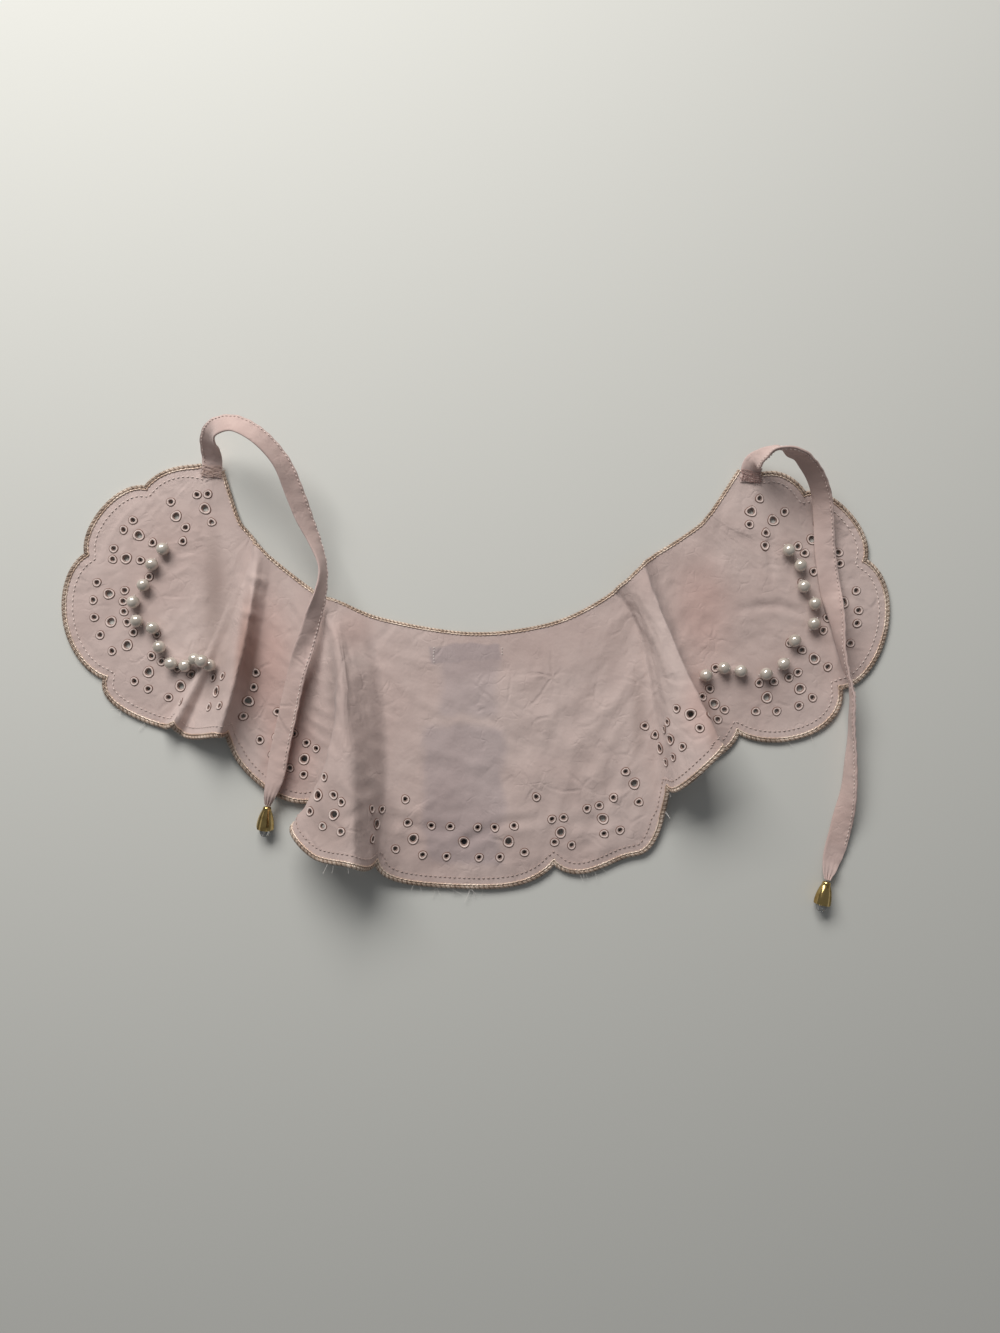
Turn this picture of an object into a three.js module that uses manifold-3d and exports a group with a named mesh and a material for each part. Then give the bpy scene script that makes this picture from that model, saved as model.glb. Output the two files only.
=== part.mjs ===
// A detachable broderie anglaise collar, lying loose on a flat surface. The panel is one cotton sheet with a
// scalloped, corded hem and three big folds. Two self-fabric ties are sewn to its front tips, each with a metal
// bell and a crystal at its end. Pearls are sewn inside the eyelet band of both front wings.
import * as THREE from "three";
import { mergeVertices } from "three/addons/utils/BufferGeometryUtils.js";
import Module from "manifold-3d";

const wasm = await Module();
wasm.setup();

// Sizes of the whole collar, millimetres
const collarWidth = 500;
const collarDepth = 250;
const foldHeight = 38;

// Cloth, cords and what is sewn on, millimetres
const clothThickness = 1.2;
const seamGap = 0.3;
const hemCordDiameter = 3;
const neckCordDiameter = 2;
const scallopDepth = 12;
const tieWidth = 12;
const tieThickness = 1.2;
const pearlDiameter = 7.6;
const labelWidth = 44;
const labelLength = 136;
const labelThickness = 1;
const labelBelowNeckline = 5;
const tackLength = 4.2;
const tackHeight = 0.8;

// Metal bells and their crystals, millimetres
const bellLength = 14;
const bellTopDiameter = 4.8;
const bellMouthDiameter = 10.4;
const bellWall = 1;
const bellRecess = 5;
const crystalShows = 4;
const crystalGap = 0.5;

// Eyelets, millimetres
const smallHole = 2.7;
const largeHole = 4.2;
const largeInset = 25.2;
const outerInset = 16.2;
const rimWidth = 1.4;

// Fineness of the faceted solids
const columnStep = 11;
const clothRows = 5;
const holeSides = 6;
const cordSides = 6;
const pearlSides = 10;
const bellSides = 12;
const crystalSides = 8;
const tieStep = 12;

// The cloth lies on its hem cord, so its middle is half a cord above the surface. A tie that lies on the cloth
// has its own middle a little higher.
const clothRest = hemCordDiameter / 2;
const tieRest = clothRest + clothThickness / 2 + seamGap + tieThickness / 2;

// Ribs of the cloth from the left front tip round the back to the right one. Each is a line from the neckline
// over the middle to the base line of the hem. Across and up are hundredths of the collar's width from its
// middle and of its depth from the hem at the back. Lift is a share of the fold height above the resting cloth.
// A notch rib ends at a notch between two scallops. A rib without a middle is straight.
const ribs = [
  { rib: "left seam", notch: true, neck: [-30.5, 99.9, 0], mid: [-31.6, 100.3, 0], hem: [-32.7, 100.7, 0] },
  { rib: "left 1", notch: true, neck: [-28.8, 89.3, 0], mid: [-35.4, 87.8, 0], hem: [-39.4, 95.2, 0] },
  { rib: "left 2", notch: true, neck: [-27.5, 85.2, 0], mid: [-37.3, 78.7, 0], hem: [-46.2, 79.7, 0] },
  { rib: "left 3", notch: true, neck: [-26.2, 82.2, 0.01], mid: [-35.2, 63.8, 0], hem: [-43.9, 50.9, 0] },
  { rib: "pinch left foot", neck: [-25.7, 81, 0.02], mid: [-31.8, 59.3, 0.01], hem: [-36.5, 42, 0.01] },
  { rib: "left 4", notch: true, neck: [-25.5, 80.5, 0.03], mid: [-31.1, 59.2, 0.1], hem: [-35.5, 40.4, 0.24] },
  { rib: "pinch right foot", neck: [-25.2, 79.8, 0.04], mid: [-30.3, 58.8, 0.05], hem: [-34.4, 39.8, 0.05] },
  { rib: "ridge 1 top", neck: [-24, 77.8, 0.12], mid: [-27, 59.3, 0.4], hem: [-29.3, 40.3, 0.52] },
  { rib: "left 5", notch: true, neck: [-23.4, 76.7, 0.11], mid: [-26.8, 58.4, 0.2], hem: [-29.1, 38.4, 0.28] },
  { rib: "valley left foot", neck: [-23, 76, 0.08], mid: [-26.1, 56.9, 0.03], hem: [-28.3, 36.4, 0.05] },
  { rib: "valley", neck: [-21.6, 73.9, 0.06], mid: [-23, 51.8, 0.02], hem: [-24.1, 29.2, 0.04] },
  { rib: "valley right end", neck: [-20.3, 72, 0.08], mid: [-20.5, 47.5, 0.05], hem: [-21, 24.6, 0.06] },
  { rib: "left 6", notch: true, neck: [-19.5, 71, 0.12], mid: [-18.6, 45.4, 0.12], hem: [-19.1, 22.3, 0.07] },
  { rib: "ridge 2 under", neck: [-19, 70.2, 0.16], mid: [-16.7, 44.6, 0.3], hem: [-17.6, 20.9, 0.2] },
  { rib: "ridge 2 lip", neck: [-18.3, 69.4, 0.2], mid: [-15.8, 45, 0.54], hem: [-19.6, 21.2, 0.49] },
  { rib: "ridge 2 rise", neck: [-17.1, 68.7, 0.2], mid: [-14.9, 42.7, 0.62], hem: [-17.2, 16.2, 0.75] },
  { rib: "ridge 2 crest", neck: [-15.7, 67.6, 0.16], mid: [-14.2, 40.8, 0.58], hem: [-13.9, 14.2, 0.96] },
  { rib: "ridge 2 fall", neck: [-14, 66, 0.09], mid: [-12.5, 38.1, 0.2], hem: [-12.2, 10.1, 0.38] },
  { rib: "left 7", notch: true, neck: [-12.6, 64.9, 0.04], mid: [-11.6, 35.6, 0.05], hem: [-11.6, 8.1, 0.12] },
  { rib: "back middle", neck: [-1.2, 60.7, 0.02], hem: [-1.2, 7.6, 0.02] },
  { rib: "right 7", notch: true, neck: [7.8, 62.4, 0.02], hem: [9.3, 7.4, 0.02] },
  { rib: "back right", neck: [13.1, 66.3, 0.03], hem: [17.1, 16.4, 0.02] },
  { rib: "crease", neck: [16.5, 70.6, 0.04], mid: [20.1, 55.9, 0.02], hem: [21.7, 23.4, 0.04] },
  { rib: "right 6", notch: true, neck: [17.2, 72, 0.12], mid: [20.7, 55.9, 0.14], hem: [22.6, 25.6, 0.22] },
  { rib: "ridge 3 rise", neck: [17.9, 73, 0.2], mid: [21.2, 55.9, 0.3], hem: [23.2, 28.6, 0.54] },
  { rib: "ridge 3 crest", neck: [18.9, 74.9, 0.25], mid: [22.2, 56.5, 0.46], hem: [25.3, 33.5, 0.78] },
  { rib: "ridge 3 lip", neck: [19.7, 76.5, 0.25], mid: [23.2, 57.5, 0.49], hem: [27.4, 37.2, 0.83] },
  { rib: "right 5", notch: true, neck: [20.2, 77.6, 0.17], mid: [23.4, 57.5, 0.22], hem: [27.1, 36.6, 0.43] },
  { rib: "ridge 3 under", neck: [21, 78.7, 0.07], mid: [24.4, 58.1, 0.04], hem: [26.9, 36, 0.09] },
  { rib: "ridge 3 foot", neck: [21.7, 79.7, 0.03], mid: [25.6, 59.5, 0.01], hem: [28.6, 36.8, 0.01] },
  { rib: "right 4", notch: true, neck: [22.7, 80.9, 0.01], mid: [27.2, 60.5, 0], hem: [31.2, 38.6, 0] },
  { rib: "right 3", notch: true, neck: [26.5, 86, 0], mid: [34.7, 66.2, 0], hem: [43.2, 48.7, 0] },
  { rib: "right 2", notch: true, neck: [28, 89.1, 0], mid: [37.1, 78.7, 0], hem: [46.1, 78.2, 0] },
  { rib: "right 1", notch: true, neck: [29, 91.8, 0], mid: [35.9, 87.1, 0], hem: [39.2, 93.6, 0] },
  { rib: "right seam", notch: true, neck: [31.7, 100.1, 0], mid: [33.1, 98, 0], hem: [34.1, 98.6, 0] },
];

// Scallops between the notches, in the same order. Depth is a share of the scallop depth, and each large eyelet
// stands at a share of the way along its scallop.
const scallops = [
  { depth: 0.25, large: [0.2, 0.75] },
  { depth: 0.6, large: [0.45, 0.8] },
  { depth: 1, large: [0.33, 0.58, 0.86] },
  { depth: 1.3, large: [0.44, 0.74] },
  { depth: 0.9, large: [0.6] },
  { depth: 1.1, large: [0.07, 0.35, 0.63] },
  { depth: 1.2, large: [0.27, 0.5, 0.86] },
  { depth: 1.35, large: [0.27, 0.49, 0.715] },
  { depth: 1.7, large: [0.2, 0.56, 0.9] },
  { depth: 0.6, large: [0.12, 0.45, 0.75] },
  { depth: 0.8, large: [0.3, 0.55, 0.8] },
  { depth: 1.3, large: [0.29, 0.58] },
  { depth: 1.1, large: [0.08, 0.45, 0.66] },
  { depth: 0.7, large: [0.22, 0.55] },
  { depth: 0.3, large: [0.25, 0.8] },
];

// How round a scallop is: 1 is a parabola, and less fills out the corners beside the notches.
const scallopRoundness = 0.78;

// Two small eyelets stand on the hem side of each large one, this share of the scallop before and after it.
const smallFlank = 0.065;
const smallFan = 1.15;

// Pearls along each wing, in hundredths across and up as the ribs have them, with the share of the fold height
// that a pearl is pushed up by its neighbours where the thread bunches them.
const pearls = {
  left: [
    [-37.2, 81.1, 0], [-38.5, 77.4, 0], [-39.5, 72.5, 0], [-40.7, 68.5, 0], [-40.3, 64, 0], [-38.4, 62.3, 0],
    [-37.6, 57.8, 0], [-36.2, 53.9, 0], [-34.5, 53.3, 0], [-33.2, 54.8, 0.06], [-32.2, 54.5, 0.14], [-31, 53, 0.02],
  ],
  right: [
    [37.2, 80.8, 0], [38.6, 77.2, 0], [39, 72.2, 0], [40.3, 68.1, 0], [40.2, 63.3, 0], [37.9, 59.3, 0],
    [36.6, 53.8, 0], [34.5, 51.4, 0], [31.5, 52.1, 0], [29.5, 52.8, 0], [27.3, 51, 0],
  ],
};

// Middle lines of the ties, from the seam to the bell. Places are given as the ribs give them, with lift from
// a tie that lies on the cloth. Roll is degrees about the line, with 0 flat, and wide is a share of the width.
const ties = {
  left: [
    { at: [-31.6, 98.4, 0], roll: 0, wide: 1 },
    { at: [-31.5, 100.4, 0], roll: 0, wide: 1 },
    { at: [-31.4, 102.4, 0.04], roll: 0, wide: 1 },
    { at: [-31.3, 104.4, 0.19], roll: 0, wide: 1 },
    { at: [-30.9, 106.3, 0.44], roll: -5, wide: 1 },
    { at: [-29.6, 107.8, 0.72], roll: -20, wide: 1 },
    { at: [-27.1, 108, 0.89], roll: -30, wide: 1 },
    { at: [-24.9, 105.9, 0.93], roll: -32, wide: 1 },
    { at: [-22.2, 100.4, 0.8], roll: -38, wide: 1 },
    { at: [-20.6, 92.4, 0.6], roll: -36, wide: 1 },
    { at: [-19.7, 87.3, 0.49], roll: -46, wide: 1 },
    { at: [-18.7, 82.6, 0.42], roll: -60, wide: 0.95 },
    { at: [-17.7, 76, 0.42], roll: -72, wide: 0.9 },
    { at: [-18, 70.2, 0.44], roll: -55, wide: 0.9 },
    { at: [-18.9, 64.5, 0.38], roll: -30, wide: 0.95 },
    { at: [-19.7, 59.4, 0.34], roll: -8, wide: 1 },
    { at: [-20.8, 52.8, 0.28], roll: 12, wide: 1 },
    { at: [-22.3, 40.1, 0.21], roll: 16, wide: 1 },
    { at: [-23.1, 33.4, 0.18], roll: 12, wide: 1 },
    { at: [-23.7, 26.5, 0.19], roll: 8, wide: 0.9 },
    { at: [-24.4, 22.2, 0.16], roll: 0, wide: 0.55 },
    { at: [-24.7, 20.3, 0.1], roll: 0, wide: 0.33 },
  ],
  right: [
    { at: [32.8, 97.2, 0], roll: 0, wide: 1 },
    { at: [32.8, 99.2, 0], roll: 0, wide: 1 },
    { at: [32.9, 100.9, 0.08], roll: -14, wide: 1 },
    { at: [33.4, 102.1, 0.31], roll: -38, wide: 1 },
    { at: [34.1, 102.8, 0.47], roll: -58, wide: 1 },
    { at: [35, 103.2, 0.6], roll: -80, wide: 1 },
    { at: [36.1, 102.5, 0.64], roll: -105, wide: 1 },
    { at: [37.5, 101.7, 0.58], roll: -110, wide: 1 },
    { at: [38.6, 100.1, 0.47], roll: -120, wide: 1 },
    { at: [39.5, 98.3, 0.37], roll: -125, wide: 1 },
    { at: [40.2, 96.3, 0.28], roll: -130, wide: 1 },
    { at: [40.8, 93.6, 0.19], roll: -140, wide: 1 },
    { at: [41.2, 89.2, 0.12], roll: -155, wide: 1 },
    { at: [41.6, 80, 0.06], roll: -172, wide: 1 },
    { at: [42.2, 71.4, 0.04], roll: -180, wide: 1 },
    { at: [42.8, 64.2, 0.06], roll: -172, wide: 1 },
    { at: [43.1, 58.3, 0.11], roll: -150, wide: 1 },
    { at: [43.7, 52.8, 0.18], roll: -122, wide: 1 },
    { at: [44.3, 46.5, 0.19], roll: -99, wide: 1 },
    { at: [44.6, 41, 0.12], roll: -106, wide: 1 },
    { at: [44.7, 36, 0.08], roll: -122, wide: 1 },
    { at: [44.6, 30, 0.03], roll: -144, wide: 1 },
    { at: [44.3, 22.8, -0.03], roll: -168, wide: 1 },
    { at: [43.6, 15, -0.05], roll: -180, wide: 1 },
    { at: [42.6, 7.6, -0.02], roll: -180, wide: 0.95 },
    { at: [42, 4, 0.04], roll: -180, wide: 0.6 },
    { at: [41.8, 2.4, 0.06], roll: -180, wide: 0.33 },
  ],
};

// Where each bell points, in hundredths, with its mouth resting on the surface.
const bellAims = { left: [-25.1, 14.5, 0], right: [41.2, -3.1, 0] };

// The outside of a bell from its top to its mouth. Along is a share of its length, and wide is the share of the
// way from the top's radius to the mouth's.
const bellOutside = [
  { along: 0, wide: -0.17 }, { along: 0.04, wide: 0 }, { along: 0.45, wide: 0.55 }, { along: 0.92, wide: 1 },
  { along: 1, wide: 0.86 },
];

// The outside of a crystal. Along is a share of its length from its foot, and wide is a share of its girdle.
const crystalOutside = [
  { along: 0, wide: 0.7 }, { along: 0.49, wide: 1 }, { along: 0.64, wide: 1 }, { along: 1, wide: 0.5 },
];

const cottonPink = new THREE.MeshStandardMaterial({ color: 0xc3a8a1, roughness: 0.9, metalness: 0 });
const tiePink = new THREE.MeshStandardMaterial({ color: 0xc4a79f, roughness: 0.9, metalness: 0 });
const braidBronze = new THREE.MeshStandardMaterial({ color: 0xa98974, roughness: 0.5, metalness: 0.4 });
const labelCharcoal = new THREE.MeshStandardMaterial({ color: 0x3f3d42, roughness: 0.8, metalness: 0 });
const threadBrown = new THREE.MeshStandardMaterial({ color: 0x5c4036, roughness: 0.8, metalness: 0 });
const pearlCream = new THREE.MeshStandardMaterial({ color: 0xd9d2c4, roughness: 0.25, metalness: 0 });
const bellBrass = new THREE.MeshStandardMaterial({ color: 0xab8a52, roughness: 0.3, metalness: 0.9 });
const crystalClear = new THREE.MeshStandardMaterial({ color: 0x9b9a98, roughness: 0.05, metalness: 0 });

const up = new THREE.Vector3(0, 0, 1);

// A place in the collar's hundredths, with its lift measured from the given rest height.
function place([across, along, lift], rest = 0) {
  return new THREE.Vector3((across / 100) * collarWidth, (along / 100) * collarDepth, rest + lift * foldHeight);
}

// Distances along a list of points, starting at nought.
function runningLengths(points) {
  const lengths = [0];
  for (let i = 1; i < points.length; i += 1) {
    lengths.push(lengths[i - 1] + points[i].distanceTo(points[i - 1]));
  }
  return lengths;
}

// Marks along a line: every given one, with even steps between neighbours that are no longer than asked.
function dividedMarks(marks, longest) {
  const divided = [marks[0]];
  for (let i = 1; i < marks.length; i += 1) {
    const steps = Math.max(1, Math.round((marks[i] - marks[i - 1]) / longest));
    const step = (marks[i] - marks[i - 1]) / steps;
    for (let k = 1; k <= steps; k += 1) divided.push(marks[i - 1] + step * k);
  }
  return divided;
}

// The value of a smooth curve through points at uneven knots. The slope at each knot is that of the parabola
// through it and its two neighbours, and the height never runs past the heights of the two knots beside it.
function smoothThrough(points, knots, station) {
  const last = knots.length - 1;
  let i = 0;
  while (i < last - 1 && station > knots[i + 1]) i += 1;
  const slopeOver = (k) => points[k + 1].clone().sub(points[k]).divideScalar(knots[k + 1] - knots[k]);
  const slopeAt = (k) => {
    if (k === 0) return slopeOver(0);
    if (k === last) return slopeOver(last - 1);
    const before = knots[k] - knots[k - 1];
    const after = knots[k + 1] - knots[k];
    const [arriving, leaving] = [slopeOver(k - 1), slopeOver(k)];
    const mixed = arriving.clone().multiplyScalar(after).addScaledVector(leaving, before);
    mixed.divideScalar(before + after);
    const gentler = Math.min(Math.abs(arriving.z), Math.abs(leaving.z));
    const steepest = arriving.z * leaving.z > 0 ? 3 * gentler : 0;
    mixed.z = Math.sign(mixed.z) * Math.min(Math.abs(mixed.z), steepest);
    return mixed;
  };
  const span = knots[i + 1] - knots[i];
  const s = (station - knots[i]) / span;
  return points[i].clone().multiplyScalar(2 * s ** 3 - 3 * s ** 2 + 1)
    .addScaledVector(slopeAt(i), span * (s ** 3 - 2 * s ** 2 + s))
    .addScaledVector(points[i + 1], 3 * s ** 2 - 2 * s ** 3)
    .addScaledVector(slopeAt(i + 1), span * (s ** 3 - s ** 2));
}

// The cloth's own lines: neckline, middle and base of the hem, each through one point of every rib.
const neckPoints = ribs.map((row) => place(row.neck, clothRest));
const hemPoints = ribs.map((row) => place(row.hem, clothRest));
const midPoints = ribs.map((row, i) => (
  row.mid ? place(row.mid, clothRest) : neckPoints[i].clone().lerp(hemPoints[i], 0.5)));
const knots = runningLengths(hemPoints);
const notchStations = knots.filter((knot, i) => ribs[i].notch);
const columns = dividedMarks(knots, columnStep);

// The scallop that a station falls in, and how far along it.
function scallopAt(station) {
  let index = 0;
  while (index < scallops.length - 1 && station >= notchStations[index + 1]) index += 1;
  const start = notchStations[index];
  return { index, share: (station - start) / (notchStations[index + 1] - start) };
}

function ribLength(station) {
  return smoothThrough(neckPoints, knots, station).distanceTo(smoothThrough(hemPoints, knots, station));
}

// How deep the cloth reaches at a station: 1 is the base line of the hem, and a scallop reaches past it.
function edgeReach(station) {
  const { index, share } = scallopAt(station);
  const along = Math.min(Math.max(share, 0), 1);
  const swell = (4 * along * (1 - along)) ** scallopRoundness;
  return 1 + (scallops[index].depth * scallopDepth * swell) / ribLength(station);
}

// A point in the middle of the cloth. Reach runs from 0 at the neckline to 1 at the base line of the hem.
function clothPoint(station, reach) {
  return smoothThrough(neckPoints, knots, station).multiplyScalar((2 * reach - 1) * (reach - 1))
    .addScaledVector(smoothThrough(midPoints, knots, station), 4 * reach * (1 - reach))
    .addScaledVector(smoothThrough(hemPoints, knots, station), reach * (2 * reach - 1));
}

function clothNormal(station, reach) {
  const small = 0.5;
  const alongHem = clothPoint(station + small, reach).sub(clothPoint(station - small, reach));
  const towardHem = clothPoint(station, reach + 0.01).sub(clothPoint(station, reach - 0.01));
  return towardHem.cross(alongHem).normalize();
}

// The station and reach of a spot that lies inward from the scalloped edge, square to the hem's base line. It
// is found by short steps over the cloth.
function inwardFromEdge(start, inset) {
  const step = 1.5;
  const turns = Math.max(1, Math.round(inset / step));
  let station = start;
  let reach = edgeReach(start);
  const alongHem = clothPoint(start + 0.5, 1).sub(clothPoint(start - 0.5, 1));
  const inward = clothNormal(start, 1).cross(alongHem).normalize();
  for (let turn = 0; turn < turns; turn += 1) {
    const here = clothPoint(station, reach);
    const byStation = clothPoint(station + 0.5, reach).sub(here).multiplyScalar(2);
    const byReach = clothPoint(station, reach + 0.01).sub(here).multiplyScalar(100);
    const normal = byReach.clone().cross(byStation).normalize();
    const move = inward.clone().addScaledVector(normal, -inward.dot(normal)).setLength(inset / turns);
    const [ss, sr, rr] = [byStation.dot(byStation), byStation.dot(byReach), byReach.dot(byReach)];
    const [ms, mr] = [move.dot(byStation), move.dot(byReach)];
    station += (ms * rr - mr * sr) / (ss * rr - sr * sr);
    reach += (mr * ss - ms * sr) / (ss * rr - sr * sr);
  }
  return { station, reach };
}

function geometryFrom(points, triangles) {
  const geometry = new THREE.BufferGeometry();
  const positions = points.flatMap((point) => [point.x, point.y, point.z]);
  geometry.setAttribute("position", new THREE.Float32BufferAttribute(positions, 3));
  geometry.setIndex(triangles);
  return geometry;
}

// A solid between rings of equally many points, each ring running counterclockwise seen from the next one.
function loft(rings) {
  const count = rings[0].length;
  const points = rings.flat();
  const triangles = [];
  for (let r = 0; r < rings.length - 1; r += 1) {
    for (let k = 0; k < count; k += 1) {
      const a = r * count + k;
      const b = r * count + ((k + 1) % count);
      triangles.push(a, b, a + count, b, b + count, a + count);
    }
  }
  const lastRing = (rings.length - 1) * count;
  for (let k = 1; k < count - 1; k += 1) {
    triangles.push(0, k + 1, k);
    triangles.push(lastRing, lastRing + k, lastRing + k + 1);
  }
  return geometryFrom(points, triangles);
}

// The whole cloth as a closed sheet, before its eyelets are cut.
function sheetGeometry() {
  const half = clothThickness / 2;
  const points = [];
  for (const side of [half, -half]) {
    for (const station of columns) {
      const edge = edgeReach(station);
      for (let j = 0; j <= clothRows; j += 1) {
        const reach = (edge * j) / clothRows;
        points.push(clothPoint(station, reach).addScaledVector(clothNormal(station, reach), side));
      }
    }
  }
  const perColumn = clothRows + 1;
  const lower = columns.length * perColumn;
  const triangles = [];
  const quad = (a, b, c, d) => triangles.push(a, b, c, a, c, d);
  for (let i = 0; i < columns.length - 1; i += 1) {
    const here = i * perColumn;
    const next = here + perColumn;
    for (let j = 0; j < clothRows; j += 1) {
      quad(here + j, here + j + 1, next + j + 1, next + j);
      quad(lower + here + j, lower + next + j, lower + next + j + 1, lower + here + j + 1);
    }
    quad(here, next, lower + next, lower + here);
    quad(here + clothRows, lower + here + clothRows, lower + next + clothRows, next + clothRows);
  }
  const end = (columns.length - 1) * perColumn;
  for (let j = 0; j < clothRows; j += 1) {
    quad(j, lower + j, lower + j + 1, j + 1);
    quad(end + j, end + j + 1, lower + end + j + 1, lower + end + j);
  }
  return geometryFrom(points, triangles);
}

// Every eyelet that is cut, as a station, a reach and a hole.
function eyelets() {
  const found = [];
  scallops.forEach((scallop, index) => {
    const start = notchStations[index];
    const chord = notchStations[index + 1] - start;
    const add = (share, inset, hole) => {
      const { station, reach } = inwardFromEdge(start + share * chord, inset);
      const spot = clothPoint(station, reach);
      const crowded = found.some((other) => (
        other.spot.distanceTo(spot) < (other.hole + hole) / 2 + 2 * rimWidth));
      if (!crowded && reach > 0.1) found.push({ station, reach, hole, spot });
    };
    for (const share of scallop.large) add(share, largeInset, largeHole);
    for (const share of scallop.large) {
      for (const side of [-smallFlank, smallFlank]) {
        const fanned = 0.5 + (share + side - 0.5) * smallFan;
        if (fanned > 0.03 && fanned < 0.97) add(fanned, outerInset, smallHole);
      }
    }
  });
  return found;
}

// A short upright prism that cuts one eyelet through the cloth.
function eyeletCutter({ station, reach, hole }) {
  const cutter = new THREE.CylinderGeometry(hole / 2, hole / 2, 3 * clothThickness, holeSides);
  cutter.rotateX(Math.PI / 2);
  cutter.applyQuaternion(new THREE.Quaternion().setFromUnitVectors(up, clothNormal(station, reach)));
  const centre = clothPoint(station, reach);
  return cutter.translate(centre.x, centre.y, centre.z);
}

function toSolid(geometry) {
  const bare = geometry.clone();
  bare.deleteAttribute("normal");
  bare.deleteAttribute("uv");
  const merged = mergeVertices(bare, 1e-4);
  const vertProperties = new Float32Array(merged.attributes.position.array);
  const triVerts = new Uint32Array(merged.index.array);
  return new wasm.Manifold(new wasm.Mesh({ numProp: 3, vertProperties, triVerts }));
}

function fromSolid(solid) {
  const mesh = solid.getMesh();
  const geometry = new THREE.BufferGeometry();
  geometry.setAttribute("position", new THREE.BufferAttribute(new Float32Array(mesh.vertProperties), 3));
  geometry.setIndex(new THREE.BufferAttribute(new Uint32Array(mesh.triVerts), 1));
  return geometry;
}

function panelGeometry() {
  let panel = toSolid(sheetGeometry());
  for (const eyelet of eyelets()) panel = panel.subtract(toSolid(eyeletCutter(eyelet)));
  return fromSolid(panel);
}

// A round cord beside an edge of the cloth, mitred at every bend so that it keeps its distance. Outward points
// away from the cloth in its own plane.
function edgeCord(edge, stations, diameter) {
  const radius = diameter / 2;
  const last = stations.length - 1;
  const points = stations.map((station) => edge(station).point);
  const stretch = (i) => points[i + 1].clone().sub(points[i]).normalize();
  const rings = stations.map((station, i) => {
    const before = stretch(Math.max(i - 1, 0));
    const after = stretch(Math.min(i, last - 1));
    const along = before.clone().add(after).normalize();
    const { outward } = edge(station);
    const side = outward.addScaledVector(along, -outward.dot(along)).normalize();
    const mitre = Math.min(1 / along.dot(after), 2);
    const face = side.clone().cross(along);
    const centre = points[i].clone().addScaledVector(side, (radius + seamGap) * mitre);
    return Array.from({ length: cordSides }, (unused, k) => {
      const angle = (2 * Math.PI * (k + 0.5)) / cordSides;
      return centre.clone().addScaledVector(side, radius * mitre * Math.cos(angle))
        .addScaledVector(face, -radius * Math.sin(angle));
    });
  });
  return loft(rings);
}

function hemEdge(station) {
  const reach = edgeReach(station);
  const point = clothPoint(station, reach);
  return { point, outward: point.clone().sub(clothPoint(station, reach - 0.02)) };
}

function neckEdge(station) {
  const point = clothPoint(station, 0);
  return { point, outward: point.clone().sub(clothPoint(station, 0.02)) };
}

// The cross-sections of a tie: its middle, its run, the way its width points, and the width's share.
function tieSections(rows) {
  const points = rows.map((row) => place(row.at, tieRest));
  const marks = runningLengths(points);
  const turns = rows.map((row) => new THREE.Vector3(row.roll, row.wide, 0));
  const total = marks[marks.length - 1];
  return dividedMarks(marks, tieStep).map((mark) => {
    const centre = smoothThrough(points, marks, mark);
    const ahead = smoothThrough(points, marks, Math.min(mark + 0.5, total));
    const behind = smoothThrough(points, marks, Math.max(mark - 0.5, 0));
    const along = ahead.sub(behind).normalize();
    const { x: roll, y: wide } = smoothThrough(turns, marks, mark);
    const side = up.clone().cross(along).normalize().applyAxisAngle(along, THREE.MathUtils.degToRad(roll));
    return { centre, along, side, wide };
  });
}

function tieGeometry(rows) {
  const rings = tieSections(rows).map(({ centre, along, side, wide }) => {
    const face = along.clone().cross(side);
    const halfWidth = (tieWidth * wide) / 2;
    const halfThickness = tieThickness / 2;
    const corner = (s, f) => centre.clone().addScaledVector(side, s * halfWidth)
      .addScaledVector(face, f * halfThickness);
    return [corner(1, 1), corner(-1, 1), corner(-1, -1), corner(1, -1)];
  });
  return loft(rings);
}

// A mesh whose own +Z axis points along a direction, with its origin at a point.
function aimed(name, geometry, material, origin, direction) {
  const mesh = new THREE.Mesh(geometry, material);
  mesh.name = name;
  mesh.position.copy(origin);
  mesh.quaternion.setFromUnitVectors(up, direction);
  return mesh;
}

// A hollow bell along +Z: narrow closed top at the origin, open mouth with a recess for the crystal.
function bellGeometry() {
  const top = bellTopDiameter / 2;
  const mouth = bellMouthDiameter / 2;
  const floor = bellLength - bellRecess;
  const outside = bellOutside.map(({ along, wide }) => (
    new THREE.Vector2(top + (mouth - top) * wide, bellLength * along)));
  const recess = [
    new THREE.Vector2(mouth - bellWall, bellLength),
    new THREE.Vector2(mouth - bellWall, floor),
    new THREE.Vector2(0, floor),
  ];
  const outline = [new THREE.Vector2(0, 0), ...outside, ...recess];
  return new THREE.LatheGeometry(outline, bellSides).rotateX(Math.PI / 2);
}

// A cut crystal along +Z: a drum in the bell's recess with a narrow flat table that stands out of its mouth.
function crystalGeometry() {
  const girdle = bellMouthDiameter / 2 - bellWall - crystalGap;
  const foot = bellLength - bellRecess + seamGap;
  const length = bellLength + crystalShows - foot;
  const outside = crystalOutside.map(({ along, wide }) => (
    new THREE.Vector2(girdle * wide, foot + length * along)));
  const outline = [new THREE.Vector2(0, foot), ...outside, new THREE.Vector2(0, foot + length)];
  return new THREE.LatheGeometry(outline, crystalSides).rotateX(Math.PI / 2);
}

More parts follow.
